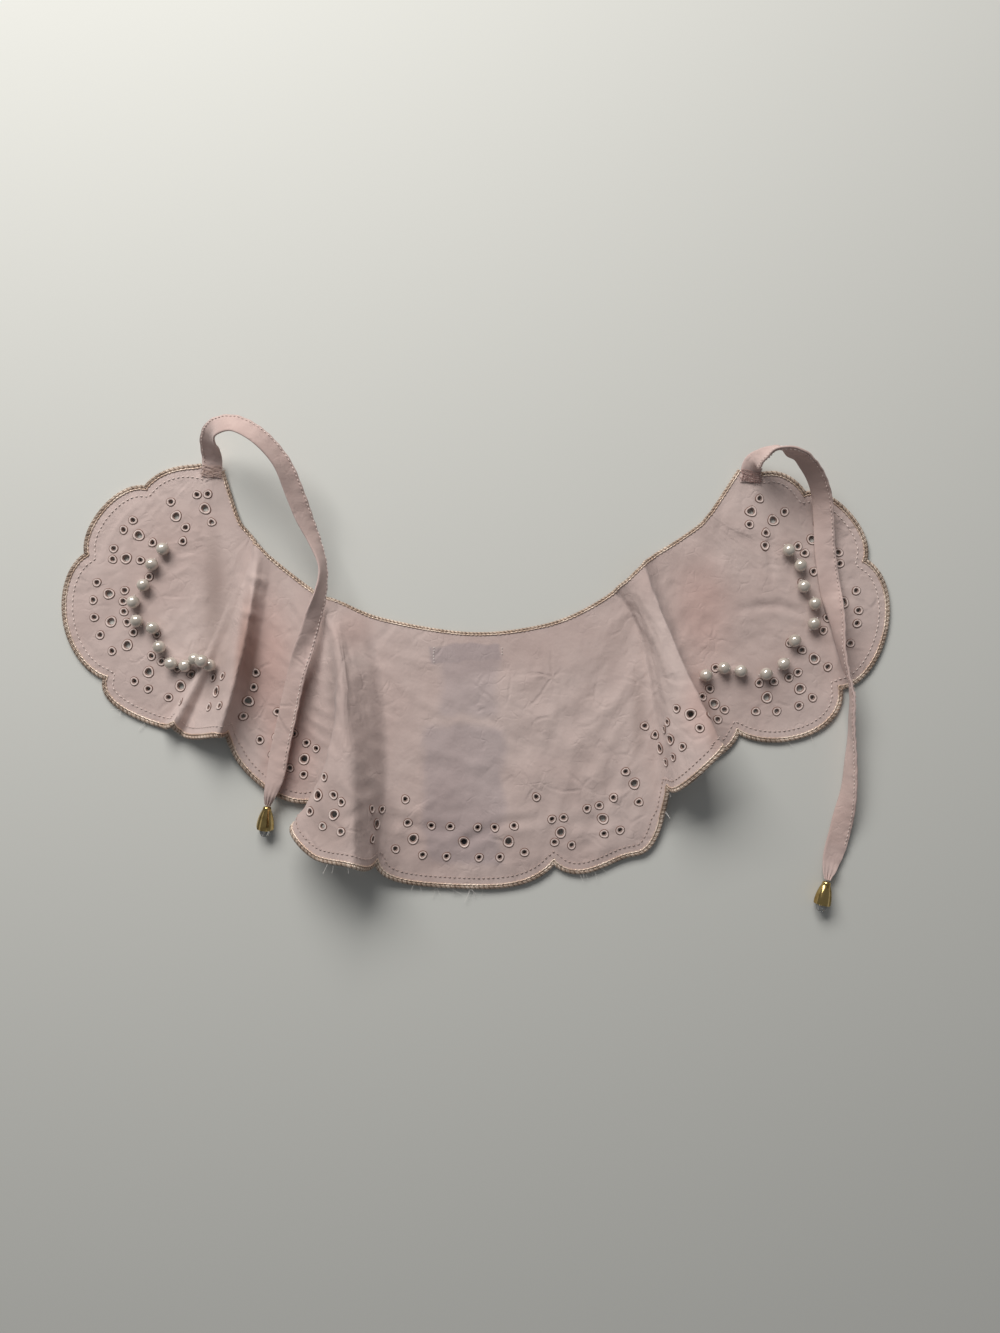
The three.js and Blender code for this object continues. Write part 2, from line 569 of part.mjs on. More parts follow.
// The station and reach of the cloth under a place, between two stations. It starts from the nearest spot of a
// coarse net over the cloth and walks towards the place from there.
function clothUnder(target, firstStation, lastStation) {
  const away = (spot) => Math.hypot(spot.x - target.x, spot.y - target.y);
  let best = { distance: Infinity };
  for (let station = firstStation; station <= lastStation; station += columnStep / 2) {
    for (let reach = 0.2; reach <= 1; reach += 0.1) {
      const distance = away(clothPoint(station, reach));
      if (distance < best.distance) best = { station, reach, distance };
    }
  }
  let { station, reach } = best;
  for (let turn = 0; turn < 8; turn += 1) {
    const here = clothPoint(station, reach);
    const byStation = clothPoint(station + 0.5, reach).sub(here).multiplyScalar(2);
    const byReach = clothPoint(station, reach + 0.01).sub(here).multiplyScalar(100);
    const missX = target.x - here.x;
    const missY = target.y - here.y;
    const area = byStation.x * byReach.y - byStation.y * byReach.x;
    station += (missX * byReach.y - missY * byReach.x) / area;
    reach += (byStation.x * missY - byStation.y * missX) / area;
  }
  return { station, reach };
}

const collar = new THREE.Group();

function addPiece(name, geometry, material) {
  const mesh = new THREE.Mesh(geometry, material);
  mesh.name = name;
  collar.add(mesh);
}

addPiece("collar_panel", panelGeometry(), cottonPink);
addPiece("hem_piping", edgeCord(hemEdge, columns, hemCordDiameter), braidBronze);
addPiece("neck_piping", edgeCord(neckEdge, columns, neckCordDiameter), braidBronze);

// The label lies flat under the middle of the back, a little below the neckline.
const backNeck = place(ribs.find((row) => row.rib === "back middle").neck);
const label = new THREE.BoxGeometry(labelWidth, labelLength, labelThickness);
label.translate(backNeck.x, backNeck.y - labelBelowNeckline - labelLength / 2, labelThickness / 2);
addPiece("back_label", label, labelCharcoal);

const ribKnot = (name) => knots[ribs.findIndex((row) => row.rib === name)];
const wingStations = {
  left: [ribKnot("left seam"), ribKnot("ridge 1 top")],
  right: [ribKnot("ridge 3 foot"), ribKnot("right seam")],
};

for (const side of ["left", "right"]) {
  pearls[side].forEach((pearl, i) => {
    const under = clothUnder(place(pearl), ...wingStations[side]);
    const geometry = new THREE.SphereGeometry(pearlDiameter / 2, pearlSides, pearlSides / 2);
    const normal = clothNormal(under.station, under.reach);
    const seat = clothPoint(under.station, under.reach)
      .addScaledVector(normal, clothThickness / 2 + seamGap + pearlDiameter / 2);
    geometry.rotateX(Math.PI / 2).translate(seat.x, seat.y, seat.z + pearl[2] * foldHeight);
    addPiece(`pearl_${side}_${String(i + 1).padStart(2, "0")}`, geometry, pearlCream);
  });

  const rows = ties[side];
  addPiece(`tie_${side}`, tieGeometry(rows), tiePink);

  const tack = new THREE.BoxGeometry(tieWidth, tackLength, tackHeight);
  const seam = place(rows[0].at, tieRest);
  tack.translate(seam.x, seam.y + tackLength / 2, seam.z + tieThickness / 2 + seamGap + tackHeight / 2);
  addPiece(`bar_tack_${side}`, tack, threadBrown);

  const tieEnd = place(rows[rows.length - 1].at, tieRest);
  const aim = place(bellAims[side], bellMouthDiameter / 2).sub(tieEnd).normalize();
  const bellTop = tieEnd.clone().addScaledVector(aim, seamGap + tieThickness / 2);
  collar.add(aimed(`tie_tip_${side}`, bellGeometry(), bellBrass, bellTop, aim));
  collar.add(aimed(`tip_crystal_${side}`, crystalGeometry(), crystalClear, bellTop, aim));
}

// The origin is the middle of the underside of everything.
collar.updateMatrixWorld(true);
const box = new THREE.Box3().setFromObject(collar, true);
collar.position.set(-(box.min.x + box.max.x) / 2, -(box.min.y + box.max.y) / 2, -box.min.z);

export default collar;
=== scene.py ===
# The collar as it looks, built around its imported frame. Its cloth, scallops and ties follow the lines of the
# part's source at full fineness, apart from a few twists of the ties, the feet of two folds, the slope of the
# second fold and the top of the first. Lengths are millimetres until a mesh is made.
import math
from collections import namedtuple
from functools import cache

import bpy
import numpy as np
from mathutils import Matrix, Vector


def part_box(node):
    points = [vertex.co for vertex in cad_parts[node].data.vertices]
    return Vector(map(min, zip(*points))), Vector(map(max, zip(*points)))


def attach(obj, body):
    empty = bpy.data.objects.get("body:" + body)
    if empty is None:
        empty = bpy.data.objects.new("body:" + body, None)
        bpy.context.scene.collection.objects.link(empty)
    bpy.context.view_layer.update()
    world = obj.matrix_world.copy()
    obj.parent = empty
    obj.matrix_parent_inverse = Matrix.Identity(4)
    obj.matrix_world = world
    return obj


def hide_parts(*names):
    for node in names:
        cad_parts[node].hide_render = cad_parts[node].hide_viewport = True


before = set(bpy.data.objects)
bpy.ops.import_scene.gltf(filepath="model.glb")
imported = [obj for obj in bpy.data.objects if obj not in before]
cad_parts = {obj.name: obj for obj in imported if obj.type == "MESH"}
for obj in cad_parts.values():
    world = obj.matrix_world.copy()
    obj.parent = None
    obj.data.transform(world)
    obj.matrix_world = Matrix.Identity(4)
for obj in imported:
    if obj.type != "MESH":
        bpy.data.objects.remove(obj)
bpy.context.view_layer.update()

MM = 0.001
TURN = 2 * math.pi

# Sizes of the whole collar
COLLAR_WIDTH = 500
COLLAR_DEPTH = 250
FOLD_HEIGHT = 38

# Cloth, cords and what is sewn on
CLOTH_THICKNESS = 1.2
SEAM_GAP = 0.3
HEM_CORD = 3
NECK_CORD = 2
SCALLOP_DEPTH = 12
TIE_WIDTH = 12
TIE_THICKNESS = 1.2
PEARL_DIAMETER = 7.6
LABEL_WIDTH = 44
LABEL_LENGTH = 136
LABEL_THICKNESS = 1
LABEL_BELOW_NECKLINE = 5

# Metal bells and their crystals
BELL_LENGTH = 14
BELL_TOP = 4.8
BELL_MOUTH = 10.4
BELL_WALL = 1
BELL_RECESS = 5
CRYSTAL_SHOWS = 4
CRYSTAL_GAP = 0.5

# Eyelets: holes, rims, and how far each row stands inward from the scalloped edge
SMALL_HOLE = 2.7
LARGE_HOLE = 4.2
OUTER_INSET = 16.2
LARGE_INSET = 25.2
INNER_INSET = 34.2
FILLER_INSET = 37.8
RIM_WIDTH = 1.55
RIM_OVERLAP = 0.12
EYELET_SPACING = 2.8
OUTER_FAN = 1.15
INNER_FAN = 0.86
SMALL_FLANK = 0.065

# Nothing goes nearer to the floor than this. The cloth stays clear of it by more, and of the label with a
# margin round it.
LOWEST = 0.05
CLOTH_CLEARANCE = 0.15
LABEL_MARGIN = 3

CLOTH_REST = HEM_CORD / 2
TIE_REST = CLOTH_REST + CLOTH_THICKNESS / 2 + SEAM_GAP + TIE_THICKNESS / 2

# Ribs of the cloth from the left front tip round the back to the right one: a point on the neckline, one in
# the middle and one on the base line of the hem, in hundredths across and up, with the lift as a share of the
# fold height. A notch rib ends at a notch between two scallops.
Rib = namedtuple("Rib", "name notch neck mid hem")
RIBS = [
    Rib("left seam", True, (-30.5, 99.9, 0), (-31.6, 100.3, 0), (-32.7, 100.7, 0)),
    Rib("left 1", True, (-28.8, 89.3, 0), (-35.4, 87.8, 0), (-39.4, 95.2, 0)),
    Rib("left 2", True, (-27.5, 85.2, 0), (-37.3, 78.7, 0), (-46.2, 79.7, 0)),
    Rib("left 3", True, (-27, 84.1, 0.01), (-35.2, 63.8, 0), (-43.9, 50.9, 0)),
    Rib("pinch left foot", False, (-26.8, 83.6, 0.02), (-31.8, 59.3, 0.01), (-36.5, 42, 0.01)),
    Rib("left 4", True, (-26.65, 83.25, 0.03), (-31.1, 59.2, 0.06), (-35.5, 40.4, 0.24)),
    Rib("pinch right foot", False, (-26.45, 82.8, 0.04), (-30.3, 58.8, 0.035), (-34.4, 39.8, 0.05)),
    Rib("ridge 1 top", False, (-25.8, 81.2, 0.12), (-27, 59.3, 0.4), (-29.3, 40.3, 0.52)),
    Rib("left 5", True, (-25, 79.5, 0.1), (-26.8, 58.4, 0.2), (-29.1, 38.4, 0.28)),
    Rib("valley left foot", False, (-24.2, 78.1, 0.08), (-26.1, 56.9, 0.03), (-28.3, 36.4, 0.05)),
    Rib("valley", False, (-22.1, 74.7, 0.06), (-23, 51.8, 0.02), (-24.1, 29.2, 0.04)),
    Rib("valley right end", False, (-20.3, 72, 0.08), (-20.5, 47.5, 0.05), (-21, 24.6, 0.06)),
    Rib("left 6", True, (-19.5, 71, 0.12), (-18.6, 45.4, 0.12), (-19.1, 22.3, 0.07)),
    Rib("ridge 2 under", False, (-19, 70.2, 0.16), (-16.7, 44.6, 0.3), (-17.6, 20.9, 0.2)),
    Rib("ridge 2 lip", False, (-18.3, 69.4, 0.2), (-15.8, 45, 0.54), (-19.6, 21.2, 0.49)),
    Rib("ridge 2 rise", False, (-17.1, 68.7, 0.2), (-14.9, 42.7, 0.62), (-17.2, 16.2, 0.75)),
    Rib("ridge 2 crest", False, (-15.7, 67.6, 0.16), (-14.2, 40.8, 0.57), (-13.9, 14.2, 0.91)),
    Rib("ridge 2 fall", False, (-14, 66, 0.09), (-12.3, 38.1, 0.28), (-12.2, 10.1, 0.5)),
    Rib("left 7", True, (-12.6, 64.9, 0.04), (-10.5, 35.6, 0.06), (-11.6, 8.1, 0.23)),
    Rib("back middle", False, (-1.2, 60.7, 0.02), None, (-1.2, 7.6, 0.02)),
    Rib("right 7", True, (7.8, 62.4, 0.02), None, (9.3, 7.4, 0.02)),
    Rib("back right", False, (13.1, 66.3, 0.03), None, (17.1, 16.4, 0.02)),
    Rib("crease", False, (16.5, 70.6, 0.04), (20.1, 55.9, 0.02), (21.7, 23.4, 0.04)),
    Rib("right 6", True, (17.2, 72, 0.12), (20.7, 55.9, 0.14), (22.6, 25.6, 0.22)),
    Rib("ridge 3 rise", False, (17.9, 73, 0.2), (21.2, 55.9, 0.3), (23.2, 28.6, 0.54)),
    Rib("ridge 3 crest", False, (18.9, 74.9, 0.25), (22.2, 56.5, 0.46), (25.3, 33.5, 0.78)),
    Rib("ridge 3 lip", False, (19.7, 76.5, 0.25), (23.2, 57.5, 0.49), (27.4, 37.2, 0.83)),
    Rib("right 5", True, (20.2, 77.6, 0.17), (23.4, 57.5, 0.22), (27.1, 36.6, 0.43)),
    Rib("ridge 3 under", False, (21, 78.7, 0.07), (24.4, 58.1, 0.04), (26.9, 36, 0.09)),
    Rib("ridge 3 foot", False, (21.7, 79.7, 0.03), (25.6, 59.5, 0.01), (28.6, 36.8, 0.01)),
    Rib("right 4", True, (22.7, 80.9, 0.01), (27.2, 60.5, 0), (31.2, 38.6, 0)),
    Rib("right 3", True, (26.5, 86, 0), (34.7, 66.2, 0), (43.2, 48.7, 0)),
    Rib("right 2", True, (28, 89.1, 0), (37.1, 78.7, 0), (46.1, 78.2, 0)),
    Rib("right 1", True, (29, 91.8, 0), (35.9, 87.1, 0), (39.2, 93.6, 0)),
    Rib("right seam", True, (31.7, 100.1, 0), (33.1, 98, 0), (34.1, 98.6, 0)),
]

# Scallops between the notches: the depth as a share of the scallop depth, and the places of the large eyelets
# as shares of the way along.
Scallop = namedtuple("Scallop", "depth large")
SCALLOPS = [
    Scallop(0.25, (0.2, 0.75)),
    Scallop(0.6, (0.45, 0.8)),
    Scallop(1, (0.33, 0.58, 0.86)),
    Scallop(1.3, (0.44, 0.74)),
    Scallop(0.9, (0.6,)),
    Scallop(1.1, (0.07, 0.35, 0.63)),
    Scallop(1.2, (0.27, 0.5, 0.86)),
    Scallop(1.35, (0.27, 0.49, 0.715)),
    Scallop(1.7, (0.2, 0.56, 0.9)),
    Scallop(0.6, (0.12, 0.45, 0.75)),
    Scallop(0.8, (0.3, 0.55, 0.8)),
    Scallop(1.3, (0.29, 0.58)),
    Scallop(1.1, (0.08, 0.45, 0.66)),
    Scallop(0.7, (0.22, 0.55)),
    Scallop(0.3, (0.25, 0.8)),
]
SCALLOP_ROUNDNESS = 0.78

# Middle lines of the ties from the seam to the bell: place and lift, roll in degrees, share of the width.
Section = namedtuple("Section", "at roll wide")
TIES = {
    "left": [
        Section((-31.6, 98.4, 0), 0, 1),
        Section((-31.5, 100.4, 0), 0, 1),
        Section((-31.4, 102.4, 0.04), 0, 1),
        Section((-31.3, 104.4, 0.19), 0, 1),
        Section((-30.9, 106.3, 0.44), -5, 1),
        Section((-29.6, 107.8, 0.72), -20, 1),
        Section((-27.1, 108, 0.89), -30, 1),
        Section((-24.9, 105.9, 0.93), -32, 1),
        Section((-22.2, 100.4, 0.8), -38, 1),
        Section((-20.6, 92.4, 0.6), -36, 1),
        Section((-19.7, 87.3, 0.49), -46, 1),
        Section((-18.7, 82.6, 0.42), -60, 0.95),
        Section((-17.7, 76, 0.42), -72, 0.9),
        Section((-18, 70.2, 0.44), -61, 0.88),
        Section((-18.9, 64.5, 0.38), -40, 0.9),
        Section((-19.7, 59.4, 0.34), -20, 0.92),
        Section((-20.8, 52.8, 0.28), 12, 1),
        Section((-22.3, 40.1, 0.21), 16, 1),
        Section((-23.1, 33.4, 0.18), 12, 1),
        Section((-23.7, 26.5, 0.19), 8, 0.9),
        Section((-24.4, 22.2, 0.16), 0, 0.55),
        Section((-24.7, 20.3, 0.1), 0, 0.33),
    ],
    "right": [
        Section((32.8, 97.2, 0), 0, 1),
        Section((32.8, 99.2, 0), 0, 1),
        Section((32.9, 100.9, 0.08), -14, 1),
        Section((33.4, 102.1, 0.31), -38, 1),
        Section((34.1, 102.8, 0.47), -58, 1),
        Section((35, 103.2, 0.6), -80, 1),
        Section((36.1, 102.5, 0.64), -105, 1),
        Section((37.5, 101.7, 0.58), -110, 1),
        Section((38.6, 100.1, 0.47), -120, 1),
        Section((39.5, 98.3, 0.37), -125, 1),
        Section((40.2, 96.3, 0.28), -130, 1),
        Section((40.8, 93.6, 0.19), -140, 1),
        Section((41.2, 89.2, 0.12), -155, 1),
        Section((41.6, 80, 0.06), -172, 1),
        Section((42.2, 71.4, 0.05), -165, 1),
        Section((42.5, 67.9, 0.1), -140, 1),
        Section((42.8, 64.2, 0.14), -118, 1),
        Section((43.1, 58.3, 0.17), -95, 1),
        Section((43.7, 52.8, 0.18), -87, 1),
        Section((44.2, 49.5, 0.19), -76, 1),
        Section((44.4, 46.5, 0.19), -80, 1),
        Section((44.5, 41, 0.14), -88, 1),
        Section((44.6, 36, 0.11), -91, 1),
        Section((44.5, 30, 0.09), -104, 1),
        Section((44.3, 22.8, 0.065), -125, 1),
        Section((43.6, 15, 0), -165, 1),
        Section((42.6, 7.6, -0.02), -180, 0.95),
        Section((42, 4, 0.04), -180, 0.6),
        Section((41.8, 2.4, 0.06), -180, 0.33),
    ],
}
BELL_AIMS = {"left": (-25.1, 14.5, 0), "right": (41.2, -3.1, 0)}

# The edge of each tie that is stitched: 1 is the side that its width points to, and -1 the other.
STITCHED_EDGE = {"left": 1, "right": -1}

# Creases pressed into the cloth: from and to in hundredths across and up, depth and half width.
Crease = namedtuple("Crease", "start end depth half_width")
CREASES = [
    Crease((-1.9, 10.6), (2.9, 15.7), 0.9, 2.6),
    Crease((2.9, 15.7), (7.1, 16.6), 0.8, 2.6),
    Crease((-13, 20.5), (-14.9, 18.3), 0.7, 2.2),
    Crease((-10, 17.2), (-6.7, 14.8), 0.8, 3),
    Crease((-6.7, 14.8), (-3.1, 13.6), 0.6, 3),
    Crease((-15.4, 44), (-9, 27), 0.7, 9),
    Crease((-12, 50), (-3.5, 39), 0.4, 3),
    Crease((-2.6, 28), (6, 24), 0.35, 4),
    Crease((11.6, 15.4), (16, 17), 0.7, 3),
    Crease((4.5, 33), (12.5, 29), 0.35, 5),
    Crease((12.5, 29), (18, 33), 0.35, 5),
    Crease((31.7, 33.5), (36.1, 33.9), 0.6, 2.6),
    Crease((36.1, 33.9), (38.9, 32), 0.6, 2.6),
    Crease((31.7, 66.9), (36.1, 67.9), 0.7, 2.4),
    Crease((36.1, 67.9), (38.9, 66), 0.7, 2.4),
    Crease((35.3, 83), (35.3, 72.2), 0.5, 2.4),
    Crease((24, 78), (29, 70), 0.5, 5),
    Crease((-31.5, 90), (-30.6, 62), 1.3, 6.5),
    Crease((-38, 60), (-34, 56), 0.3, 3),
    Crease((-27.6, 82), (-25.6, 76), 0.45, 3),
    Crease((-26.9, 74.6), (-25.2, 73.2), -0.9, 1.8),
    Crease((-27.7, 66.2), (-25.7, 65), -0.8, 1.8),
    Crease((-7.4, 18), (-5.2, 21), -0.5, 1.6),
]

# Waves of the whole cloth, in millimetres: length, height, and how many directions are mixed.
Wave = namedtuple("Wave", "length height count")
SOFT_WAVES = [Wave(75, 0.26, 4), Wave(38, 0.14, 5)]
CRUMPLES = [Wave(54, 0.55, 4), Wave(27, 0.3, 5), Wave(13, 0.15, 6)]

# The wings are smoother than the back: from and to this far from the middle, and what is left of the creases.
WINGS_FROM = 90
WINGS_FULL = 150
WING_CREASES = 0.55

# The cloth is smoother too where it is short from neckline to hem, and near the hem. The stitches pucker it.
CALM_LENGTH = 60
CALM_HEM = 9
HEM_STITCH_INSET = 4
HEM_PUCKER = 0.16
HEM_PUCKER_LENGTH = 6.5

# How far the cloth is probed for its slopes, and the steps of the way inward from its edge.
STATION_PROBE = 0.5
REACH_PROBE = 0.01
INWARD_STEP = 1.5

# Faces that meet at less than this many degrees look smooth: on cords and threads, and on cloth.
ROUND = 80
SOFT = 60

rng = np.random.default_rng(11)


def place(rows, rest=0.0):
    """Hundredths across and up and shares of the fold height, as millimetres."""
    return np.asarray(rows, float) * [COLLAR_WIDTH / 100, COLLAR_DEPTH / 100, FOLD_HEIGHT] + [0, 0, rest]


def unit(vectors):
    return vectors / np.maximum(np.linalg.norm(vectors, axis=-1, keepdims=True), 1e-9)


def square_to(vectors, along):
    """The part of each vector that is square to a unit direction, made one long."""
    return unit(vectors - along * (vectors * along).sum(-1, keepdims=True))


def running_lengths(points):
    steps = np.linalg.norm(np.diff(points, axis=0), axis=1)
    return np.concatenate([[0], np.cumsum(steps)])


def at_marks(marks, lengths, rows):
    """The rows of a line again, at other lengths along it."""
    return np.stack([np.interp(marks, lengths, column) for column in rows.T], axis=1)


def divided_marks(marks, longest):
    divided = [marks[0]]
    for low, high in zip(marks[:-1], marks[1:]):
        steps = max(1, round((high - low) / longest))
        divided.extend(low + (high - low) * np.arange(1, steps + 1) / steps)
    return np.array(divided)


def smooth_through(points, knots, stations):
    """A smooth curve through points at uneven knots, whose height never runs past its neighbours'."""
    span = np.diff(knots)
    over = np.diff(points, axis=0) / span[:, None]
    slopes = np.empty_like(points)
    slopes[0], slopes[-1] = over[0], over[-1]
    mixed = over[:-1] * span[1:, None] + over[1:] * span[:-1, None]
    slopes[1:-1] = mixed / (span[1:] + span[:-1])[:, None]
    gentler = np.minimum(abs(over[:-1, 2]), abs(over[1:, 2]))
    steepest = np.where(over[:-1, 2] * over[1:, 2] > 0, 3 * gentler, 0)
    slopes[1:-1, 2] = np.clip(slopes[1:-1, 2], -steepest, steepest)
    stations = np.asarray(stations, float)
    i = np.searchsorted(knots[1:-1], stations)
    s = ((stations - knots[i]) / span[i])[..., None]
    width = span[i][..., None]
    return (points[i] * (2 * s**3 - 3 * s**2 + 1) + points[i + 1] * (3 * s**2 - 2 * s**3)
            + width * (slopes[i] * (s**3 - 2 * s**2 + s) + slopes[i + 1] * (s**3 - s**2)))


NECK_LINE = place([rib.neck for rib in RIBS], CLOTH_REST)
HEM_LINE = place([rib.hem for rib in RIBS], CLOTH_REST)
MID_LINE = np.array([
    place(rib.mid, CLOTH_REST) if rib.mid else (neck + hem) / 2
    for rib, neck, hem in zip(RIBS, NECK_LINE, HEM_LINE)
])
KNOTS = running_lengths(HEM_LINE)
NOTCHES = np.array([knot for knot, rib in zip(KNOTS, RIBS) if rib.notch])
DEPTHS = np.array([scallop.depth for scallop in SCALLOPS])

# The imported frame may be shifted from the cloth's own lines, and the label shows by how much.
RIB_NAMES = [rib.name for rib in RIBS]
back_neck = NECK_LINE[RIB_NAMES.index("back middle")]
label_low, label_high = (np.array(corner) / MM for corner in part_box("back_label"))
label_middle = (label_low + label_high) / 2
LABEL_PLACE = np.array([
    back_neck[0],
    back_neck[1] - LABEL_BELOW_NECKLINE - LABEL_LENGTH / 2,
    LABEL_THICKNESS / 2,
])
SHIFT = label_middle - LABEL_PLACE


def rib_length(station):
    ends = smooth_through(NECK_LINE, KNOTS, station) - smooth_through(HEM_LINE, KNOTS, station)
    return np.linalg.norm(ends, axis=-1)


def edge_reach(station):
    """How deep the cloth reaches: 1 is the base line of the hem, and a scallop reaches past it."""
    index = np.clip(np.searchsorted(NOTCHES, station, side="right") - 1, 0, len(SCALLOPS) - 1)
    share = np.clip((station - NOTCHES[index]) / (NOTCHES[index + 1] - NOTCHES[index]), 0, 1)
    swell = (4 * share * (1 - share)) ** SCALLOP_ROUNDNESS
    return 1 + DEPTHS[index] * SCALLOP_DEPTH * swell / rib_length(station)


def cloth_point(station, reach):
    r = np.asarray(reach, float)[..., None]
    return (smooth_through(NECK_LINE, KNOTS, station) * (2 * r - 1) * (r - 1)
            + smooth_through(MID_LINE, KNOTS, station) * 4 * r * (1 - r)
            + smooth_through(HEM_LINE, KNOTS, station) * r * (2 * r - 1))


def cloth_slopes(station, reach):
    """How the cloth moves with a millimetre of station, and with a whole reach."""
    by_station = cloth_point(station + STATION_PROBE, reach) - cloth_point(station - STATION_PROBE, reach)
    by_reach = cloth_point(station, reach + REACH_PROBE) - cloth_point(station, reach - REACH_PROBE)
    return by_station / (2 * STATION_PROBE), by_reach / (2 * REACH_PROBE)


def cloth_normal(station, reach):
    by_station, by_reach = cloth_slopes(station, reach)
    return unit(np.cross(by_reach, by_station))


def solved(by_station, by_reach, move):
    """The change of station and reach that makes a move in the cloth's plane."""
    ss = (by_station * by_station).sum(-1)
    sr = (by_station * by_reach).sum(-1)
    rr = (by_reach * by_reach).sum(-1)
    ms = (move * by_station).sum(-1)
    mr = (move * by_reach).sum(-1)
    area = ss * rr - sr * sr
    return (ms * rr - mr * sr) / area, (mr * ss - ms * sr) / area


def inward_from_edge(starts, inset):
    """Stations and reaches that lie inward from the scalloped edge, square to the hem's base line."""
    steps = max(1, round(inset / INWARD_STEP))
    station = np.array(starts, float)
    reach = edge_reach(station)
    by_station, by_reach = cloth_slopes(station, np.ones_like(station))
    inward = unit(np.cross(unit(np.cross(by_reach, by_station)), by_station))
    for _ in range(steps):
        here = cloth_point(station, reach)
        by_station = (cloth_point(station + STATION_PROBE, reach) - here) / STATION_PROBE
        by_reach = (cloth_point(station, reach + REACH_PROBE) - here) / REACH_PROBE
        move = square_to(inward, unit(np.cross(by_reach, by_station))) * inset / steps
        d_station, d_reach = solved(by_station, by_reach, move)
        station = station + d_station
        reach = reach + d_reach
    return station, reach


# The flat pattern of the cloth is a piece of a ring, and the weave runs straight across it.
RIB_MEAN = 140
NECK_ARC = 380
HEM_ARC = KNOTS[-1]
RING_RADIUS = RIB_MEAN * NECK_ARC / (HEM_ARC - NECK_ARC)
RING_ANGLE = NECK_ARC / RING_RADIUS


def pattern(station, reach):
    angle = (station / HEM_ARC - 0.5) * RING_ANGLE
    radius = RING_RADIUS + RIB_MEAN * np.asarray(reach)
    return np.stack([radius * np.sin(angle), -radius * np.cos(angle)], axis=-1)


@cache
def directions(wave):
    """The angles, phases and stretches of a wave, the same each time that they are asked for."""
    return np.stack([
        rng.uniform(0, math.pi, wave.count),
        rng.uniform(0, TURN, wave.count),
        rng.uniform(0.8, 1.25, wave.count),
    ], axis=1)


def mixed_waves(waves, spots, ridged):
    """Waves in several directions added up. Ridged ones fold at sharp lines, as creased cotton does."""
    total = np.zeros(spots.shape[:-1])
    for wave in waves:
        for angle, phase, stretch in directions(wave):
            along = spots @ [math.cos(angle), math.sin(angle)]
            across = spots @ [-math.sin(angle), math.cos(angle)]
            bend = 0.22 * wave.length * np.sin(TURN * across / (wave.length * 1.7) + 3 * phase)
            value = np.sin(TURN * (along + bend) / (wave.length * stretch) + phase)
            if ridged:
                patchy = 0.5 + 0.5 * np.sin(TURN * across / (wave.length * 2.3) + 5 * phase)
                value = 0.6 - 2 * np.sqrt(value * value + 0.004) * patchy
            total += wave.height * value / wave.count**0.5
    return total


def pressed_crease(crease, spots):
    """A valley between two low shoulders that fades toward both ends."""
    start, end = place([[*crease.start, 0], [*crease.end, 0]])[:, :2]
    run = end - start
    share = np.clip((spots - start) @ run / (run @ run), 0, 1)
    distance = np.linalg.norm(spots - (start + share[..., None] * run), axis=-1) / crease.half_width
    profile = 0.4 * np.exp(-(distance - 2.2) ** 2) - np.exp(-distance**2)
    return crease.depth * np.sin(math.pi * (0.15 + 0.7 * share)) * profile


def relief(station, reach, point):
    """Height of the cloth's own creases, ripples and puckers over its smooth drape."""
    flat = pattern(station, reach)
    length = rib_length(station)
    from_hem = (edge_reach(station) - reach) * length
    calm = np.clip(length / CALM_LENGTH, 0.25, 1)
    calm = calm * np.clip(reach * 6, 0.35, 1)
    calm = calm * np.clip(from_hem / CALM_HEM, 0.3, 1)
    calm = calm * np.interp(abs(point[..., 0]), [WINGS_FROM, WINGS_FULL], [1, WING_CREASES])
    height = calm * (mixed_waves(SOFT_WAVES, flat, False) + mixed_waves(CRUMPLES, flat, True))
    for crease in CREASES:
        height = height + pressed_crease(crease, point[..., :2])
    pucker = HEM_PUCKER * np.sin(TURN * station / HEM_PUCKER_LENGTH + 1.5 * np.sin(station / 23))
    return height + pucker * np.exp(-((from_hem - HEM_STITCH_INSET) / 4.5) ** 2)


def surface(station, reach):
    """The middle of the creased cloth, and its smooth normal."""
    station = np.asarray(station, float)
    reach = np.asarray(reach, float)
    point = cloth_point(station, reach)
    normal = cloth_normal(station, reach)
    raised = point + normal * relief(station, reach, point)[..., None]
    half_label = np.array([LABEL_WIDTH, LABEL_LENGTH]) / 2
    over_label = (abs(raised - LABEL_PLACE)[..., :2] < half_label + LABEL_MARGIN).all(-1)
    low = CLOTH_THICKNESS / 2 + CLOTH_CLEARANCE + LABEL_THICKNESS * over_label
    raised[..., 2] = np.maximum(raised[..., 2], low)
    return raised, normal


Eyelet = namedtuple("Eyelet", "station reach hole")


